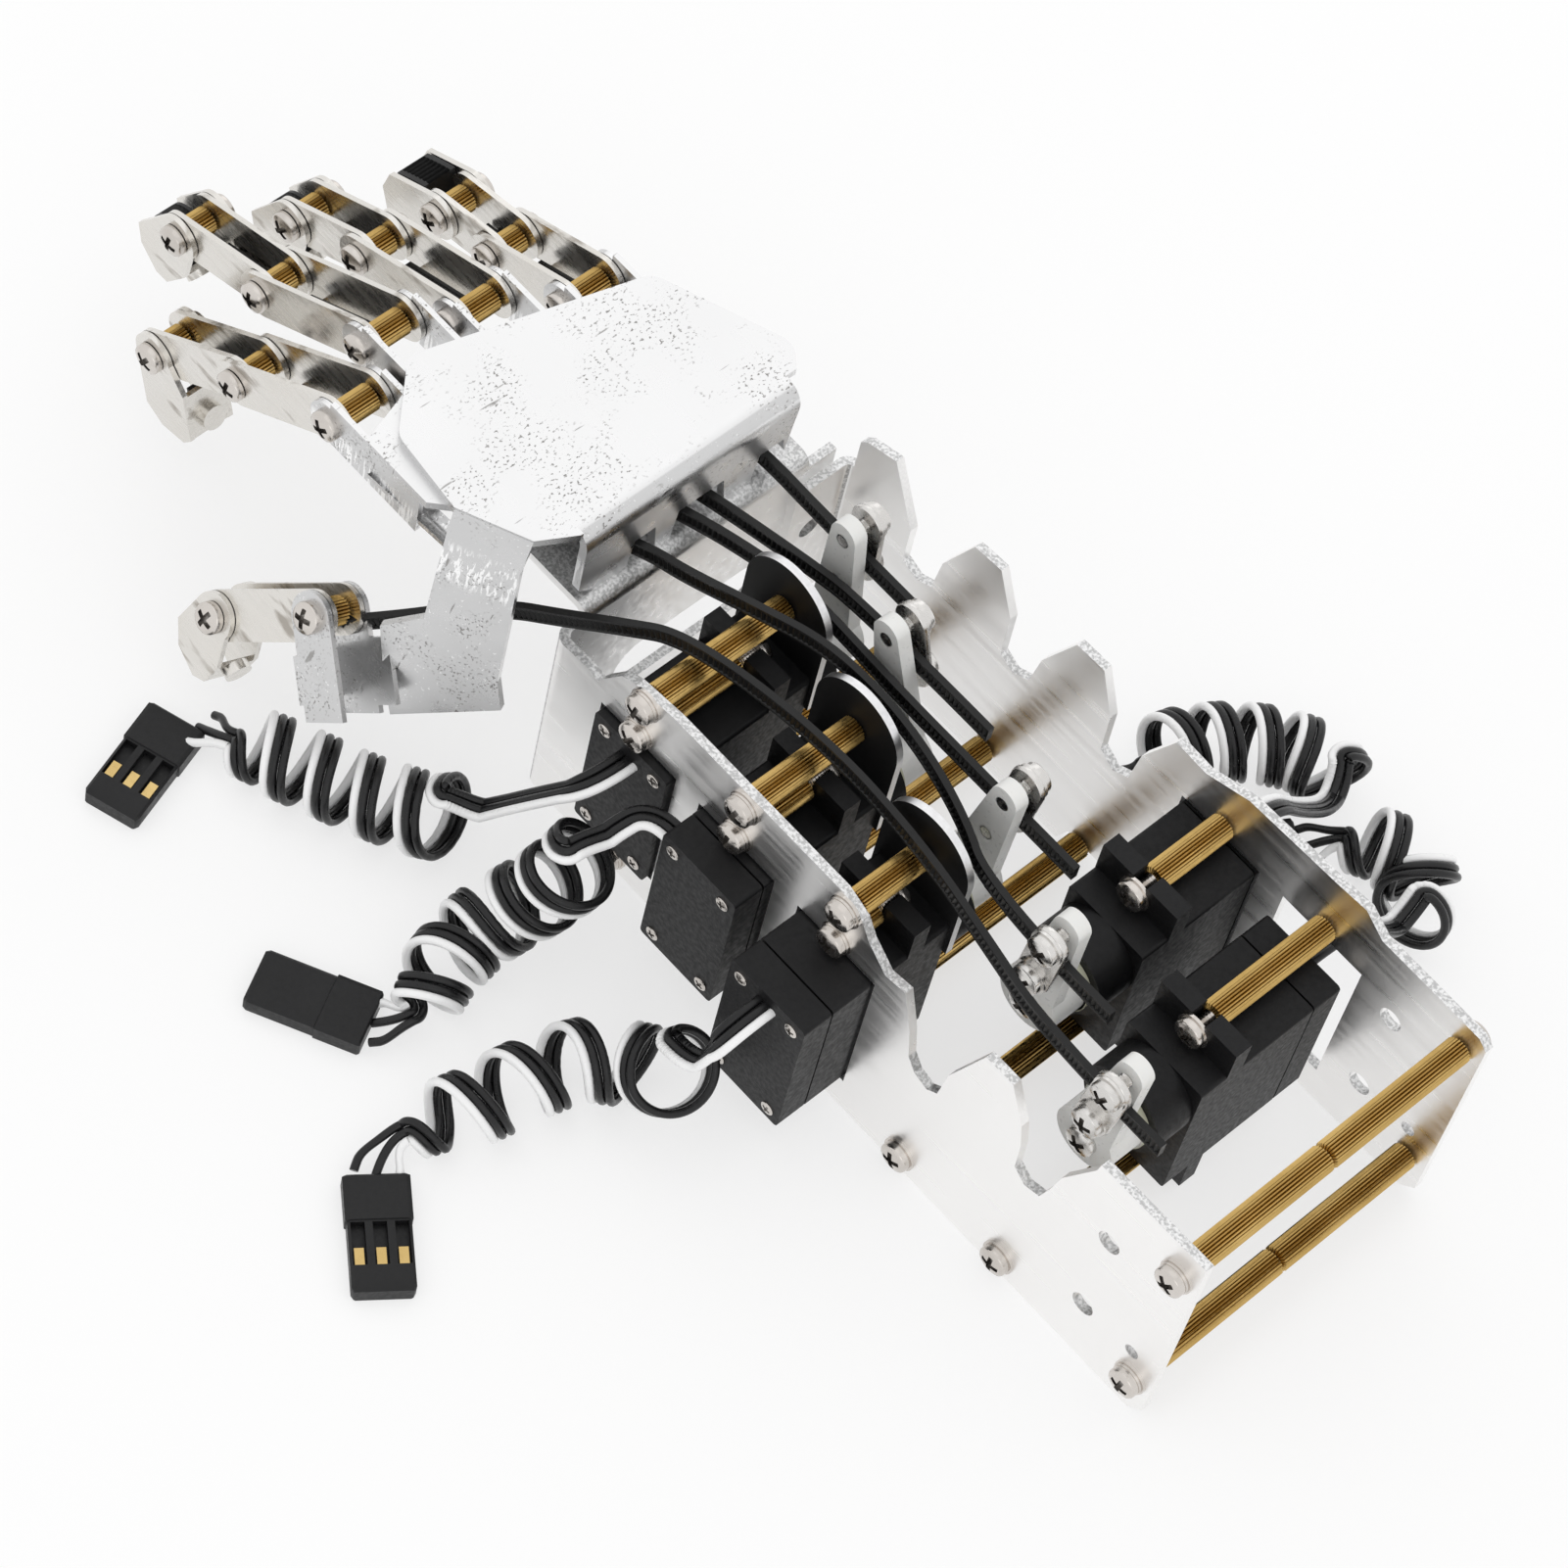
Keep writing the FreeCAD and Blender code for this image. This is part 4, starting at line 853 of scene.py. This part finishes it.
flat_depth = link_r - link_sheet - strip_thick / 2
tip_depth = tip_low - link_sheet - strip_thick / 2
for name in "abcd":
    axis = np.array([0.0, 1.0, 0.0])
    middle = [place(hx, finger_y[name], hz) for hx, hz in hinges[name]]
    tip_turn, tip_long = np.radians(tips[name][0]), tips[name][1]
    middle.append(middle[2] + tip_long * np.array([np.cos(tip_turn), 0.0, np.sin(tip_turn)]))
    for k in (1, 2, 3):
        run = middle[k] - middle[k - 1]
        long = float(np.linalg.norm(run))
        ahead = run / long
        rise = np.cross(ahead, axis)
        rise *= np.sign(rise @ np.array([-ahead[2], 0.0, ahead[0]]))
        inset, depth = (link_inset, flat_depth) if k < 3 else (tip_inset, tip_depth)
        band = floor_strip(middle[k - 1], ahead, rise, axis, inset[0], long - inset[1], depth)
        make_piece("finger_%s_strip_%d" % (name, k), [band], [strip_black],
                   "finger_%s_%d" % (name, k))
    if name in strip_ends:
        route = [middle[2] + ahead * u + rise * v for u, v in strip_ends[name][0]]
        wide, thick = strip_ends[name][1]
        knot = toothed_band(spline_line("strip_end_" + name, route, tooth_pitch / 2), wide, thick, axis)
        make_piece("finger_%s_strip_end" % name, [knot], [strip_black], "finger_%s_3" % name)

# Leads: three vinyl wires side by side, two black and one white, curled like a telephone cord.
# Each runs plain from its servo's cover, then in turns, and fans out into its plug.
wire_r = 0.00054
wire_columns = 10
wire_gap = 0.00109
pin_pitch = 0.00254
curl_r = 0.00472
soft_turns = 0.4
ramp_turns = 0.5
ramp_ease = 1.4
fan_from, fan_over = 0.9, 0.08
fan_near, fan_reach = 0.001, 0.006
floor_gap = 0.00005
lead_step = 0.00008
lead_crease = 1.2
vinyl_black = clouded("vinyl_black", (0.006, 0.006, 0.0065), (0.013, 0.013, 0.014), 0.0, (0.24, 0.38),
                      0.35)
vinyl_white = clouded("vinyl_white", (0.88, 0.88, 0.88), (0.94, 0.94, 0.94), 0.0, (0.26, 0.42))
lead_routes = {
    1: [(0.0912, 0.0243, 0.0256), (0.0912, 0.0300, 0.0256), (0.0966, 0.0326, 0.0184),
        (0.1024, 0.0352, 0.0100), (0.1060, 0.0382, 0.0060), (0.1150, 0.0430, 0.0055),
        (0.1225, 0.0463, 0.0056), (0.1280, 0.0492, 0.0055), (0.1317, 0.0502, 0.0037),
        (0.1346, 0.0503, 0.0016)],
    2: [(0.0805, 0.0268, 0.0260), (0.0846, 0.0268, 0.0260), (0.0864, 0.0312, 0.0228),
        (0.0870, 0.0344, 0.0182), (0.0892, 0.0374, 0.0115), (0.0922, 0.0426, 0.0060),
        (0.0914, 0.0490, 0.0055), (0.0900, 0.0528, 0.0055), (0.0886, 0.0567, 0.0038),
        (0.0918, 0.0597, 0.0016)],
    3: [(0.0576, 0.0335, 0.0263), (0.0576, 0.0394, 0.0263), (0.0594, 0.0406, 0.0175),
        (0.0624, 0.0404, 0.0105), (0.0665, 0.0408, 0.0063), (0.0720, 0.0444, 0.0055),
        (0.0740, 0.0525, 0.0056), (0.0755, 0.0610, 0.0055), (0.0776, 0.0652, 0.0044),
        (0.0786, 0.0690, 0.0028), (0.0765, 0.0722, 0.0016)],
    4: [(0.0408, -0.0261, 0.0263), (0.0408, -0.0316, 0.0263), (0.0406, -0.0380, 0.0180),
        (0.0409, -0.0460, 0.0096), (0.0434, -0.0514, 0.0060), (0.0484, -0.0518, 0.0055),
        (0.0536, -0.0478, 0.0056), (0.0579, -0.0426, 0.0055), (0.0602, -0.0368, 0.0056),
        (0.0594, -0.0334, 0.0038), (0.0608, -0.0306, 0.0016)],
    5: [(0.0240, -0.0191, 0.0263), (0.0240, -0.0275, 0.0263), (0.0236, -0.0335, 0.0185),
        (0.0242, -0.0405, 0.0096), (0.0254, -0.0470, 0.0059), (0.0284, -0.0509, 0.0055),
        (0.0324, -0.0502, 0.0056), (0.0360, -0.0482, 0.0055), (0.0392, -0.0468, 0.0037),
        (0.0410, -0.0436, 0.0016)],
}

# For each lead: its turns, and where along the route the curl begins and ends
lead_curls = {1: (5.0, 0.42, 0.90), 2: (5.5, 0.24, 0.90), 3: (5.0, 0.26, 0.90),
              4: (5.0, 0.50, 0.92), 5: (3.0, 0.56, 0.90)}


def eased(t):
    """Zero below 0 and one above 1, rising as three squares less two cubes."""
    t = np.clip(t, 0, 1)
    return t * t * (3 - 2 * t)


def curled_wires(line, turns, begin, end):
    """Three wires on a curl: the middle line is the route plus the curl's radius times a unit vector
    that turns about the route, and each wire stands beside it along the ribbon's own width direction.
    The radius swells upwards just before the first turn, and the turning sets in softly. Near the
    plug the wires fan out to the contacts' pitch, and none lies lower than the bench."""
    share = np.linspace(0, 1, len(line))
    ahead = np.gradient(line, axis=0)
    ahead /= np.linalg.norm(ahead, axis=1)[:, None]
    level = np.cross(ahead, (0.0, 0.0, 1.0))
    level /= np.linalg.norm(level, axis=1)[:, None]
    rise = np.cross(level, ahead)
    wound = np.clip((share - begin) / (end - begin), 0, 1)
    soft = soft_turns / turns
    wound = np.where(wound < soft, wound ** 2 / (2 * soft), wound - soft / 2) / (1 - soft / 2)
    angle = np.pi / 2 - 2 * np.pi * turns * wound
    ramp = ramp_turns * (end - begin) / turns
    swell = curl_r * eased((share - begin + ramp) / (ramp_ease * ramp)) * eased((end - share) / ramp)
    swell = np.clip(line[:, 2] - wire_gap * 0.5 - wire_r, 0, swell)
    arm = np.cos(angle)[:, None] * level + np.sin(angle)[:, None] * rise
    middle = line + swell[:, None] * arm
    run = np.gradient(middle, axis=0)
    run /= np.linalg.norm(run, axis=1)[:, None]
    width = np.cross(run, arm)
    width /= np.linalg.norm(width, axis=1)[:, None]
    skin = np.cross(width, run)
    away = np.linalg.norm(middle - middle[-1], axis=1)
    late = eased((share - fan_from) / fan_over) * eased(1 - (away - fan_near) / fan_reach)
    gap = wire_gap + (pin_pitch - wire_gap) * late
    lowest = middle[:, 2] - gap * np.abs(width[:, 2]) - wire_r - floor_gap
    middle[:, 2] += np.clip(-lowest, 0, None)
    turn = np.linspace(0, 2 * np.pi, wire_columns, endpoint=False)
    tubes = []
    for k in (-1, 0, 1):
        core = middle + width * (k * gap)[:, None]
        ring = (core[:, None, :] + wire_r * (np.cos(turn)[None, :, None] * width[:, None, :]
                                             + np.sin(turn)[None, :, None] * skin[:, None, :]))
        tubes.append(np.concatenate([np.repeat(core[:1, None, :], wire_columns, axis=1), ring,
                                     np.repeat(core[-1:, None, :], wire_columns, axis=1)]))
    return middle, tubes


for n, route in lead_routes.items():
    line = spline_line("lead_line_%d" % n, [place(*p) for p in route], lead_step)
    middle, tubes = curled_wires(line, *lead_curls[n])
    make_piece("curly_lead_%d" % n, tubes, [vinyl_white, vinyl_black], "frame",
                                ["servo_lead_%d" % n], (0, 1, 1), lead_crease)

# Plugs: three way black housings. The wire end is a shade wider, and the open side shows
# three long slots with a gilt contact in each.
plug_long, plug_wide, plug_thick = 0.0146, 0.0078, 0.0027

# Each plug's middle and its heading in degrees
plug_spots = {1: (0.1345, 0.0586, 108.0), 2: (0.0983, 0.0631, 27.8), 3: (0.0706, 0.0765, 143.7),
              4: (0.0687, -0.0292, 4.0), 5: (0.04465, -0.0373, 60.0)}
plug_black = clouded("plug_black", (0.007, 0.007, 0.0075), (0.015, 0.015, 0.016), 0.0, (0.34, 0.5),
                     0.3)
raised(plug_black, noise(plug_black, 3000, detail=1), 0.00002)
contact_gilt = clouded("contact_gilt", (0.50, 0.34, 0.12), (0.78, 0.58, 0.26), 1.0, (0.18, 0.36))
plug_bevel = 0.00025
plug_nose = 0.0005
slot_half = 0.0008
slot_depth = 0.0011
slot_edge = 0.00002
step_at, step_run, step_in = 0.0057, 0.0001, 0.0002
slot_from, slot_to = 0.0060, 0.0113
ways = (-pin_pitch, 0.0, pin_pitch)
contact_from, contact_to = 0.0017, 0.0038
contact_half = slot_half * 0.7
contact_low = plug_thick - slot_depth - 0.0003
contact_thick = 0.0007
bare_back = 2


def plug_shell(slotted):
    """A closed run of sections along the plug: each is a bevelled box outline whose top samples sink
    by the slot's depth inside the three slots."""
    edges = np.concatenate([[c - slot_half - slot_edge, c - slot_half, c + slot_half,
                             c + slot_half + slot_edge] for c in ways])
    inside = np.tile([0.0, 1.0, 1.0, 0.0], 3)
    along = [0, 0, plug_bevel, step_at, step_at + step_run, slot_from - slot_edge, slot_from, slot_to,
             slot_to + slot_edge, plug_long - plug_bevel * 2, plug_long, plug_long]
    trim = [0, -plug_bevel, 0, 0] + [-step_in] * 6 + [-plug_nose, 0]
    sunk = [0, 0, 0, 0, 0, 0, 1, 1, 0, 0, 0, 0]
    rings = []
    for x, t, d in zip(along, trim, sunk):
        w, h = plug_wide / 2 + t, plug_thick + t
        top = h - slot_depth * inside * d * slotted
        v = np.concatenate([[-w, -w], edges, [w, w], [w - plug_bevel, -w + plug_bevel]])
        z = np.concatenate([[plug_bevel, h - plug_bevel], top,
                            [h - plug_bevel, plug_bevel], [0.0, 0.0]])
        rings.append(np.stack([np.full(len(v), x - plug_long / 2), v, z], axis=1))
    rings = np.array(rings)
    rings[0] = rings[1].mean(axis=0)
    rings[-1] = rings[-2].mean(axis=0)
    return rings


def small_block(low, high):
    """A closed block as four rings of four corners."""
    (x0, y0, z0), (x1, y1, z1) = low, high
    ring = np.array([[y0, z0], [y1, z0], [y1, z1], [y0, z1]])
    centre = ring.mean(axis=0)
    cap = np.tile(centre, (4, 1))
    return np.array([[(x, *q) for q in r] for x, r in ((x0, cap), (x0, ring), (x1, ring), (x1, cap))])


for n, (px, py, heading) in plug_spots.items():
    slotted = n != bare_back
    grids, kinds = [plug_shell(slotted)], [0]
    if slotted:
        for c in ways:
            grids.append(small_block((contact_from, c - contact_half, contact_low),
                                     (contact_to, c + contact_half, contact_low + contact_thick)))
            kinds.append(1)
    a = np.radians(heading)
    spin = np.array([[np.cos(a), np.sin(a), 0], [-np.sin(a), np.cos(a), 0], [0, 0, 1]])
    grids = [g @ spin + place(px, py, 0) for g in grids]
    make_piece("plug_%d" % n, grids, [plug_black, contact_gilt], "frame",
                                ["lead_connectors"], kinds)
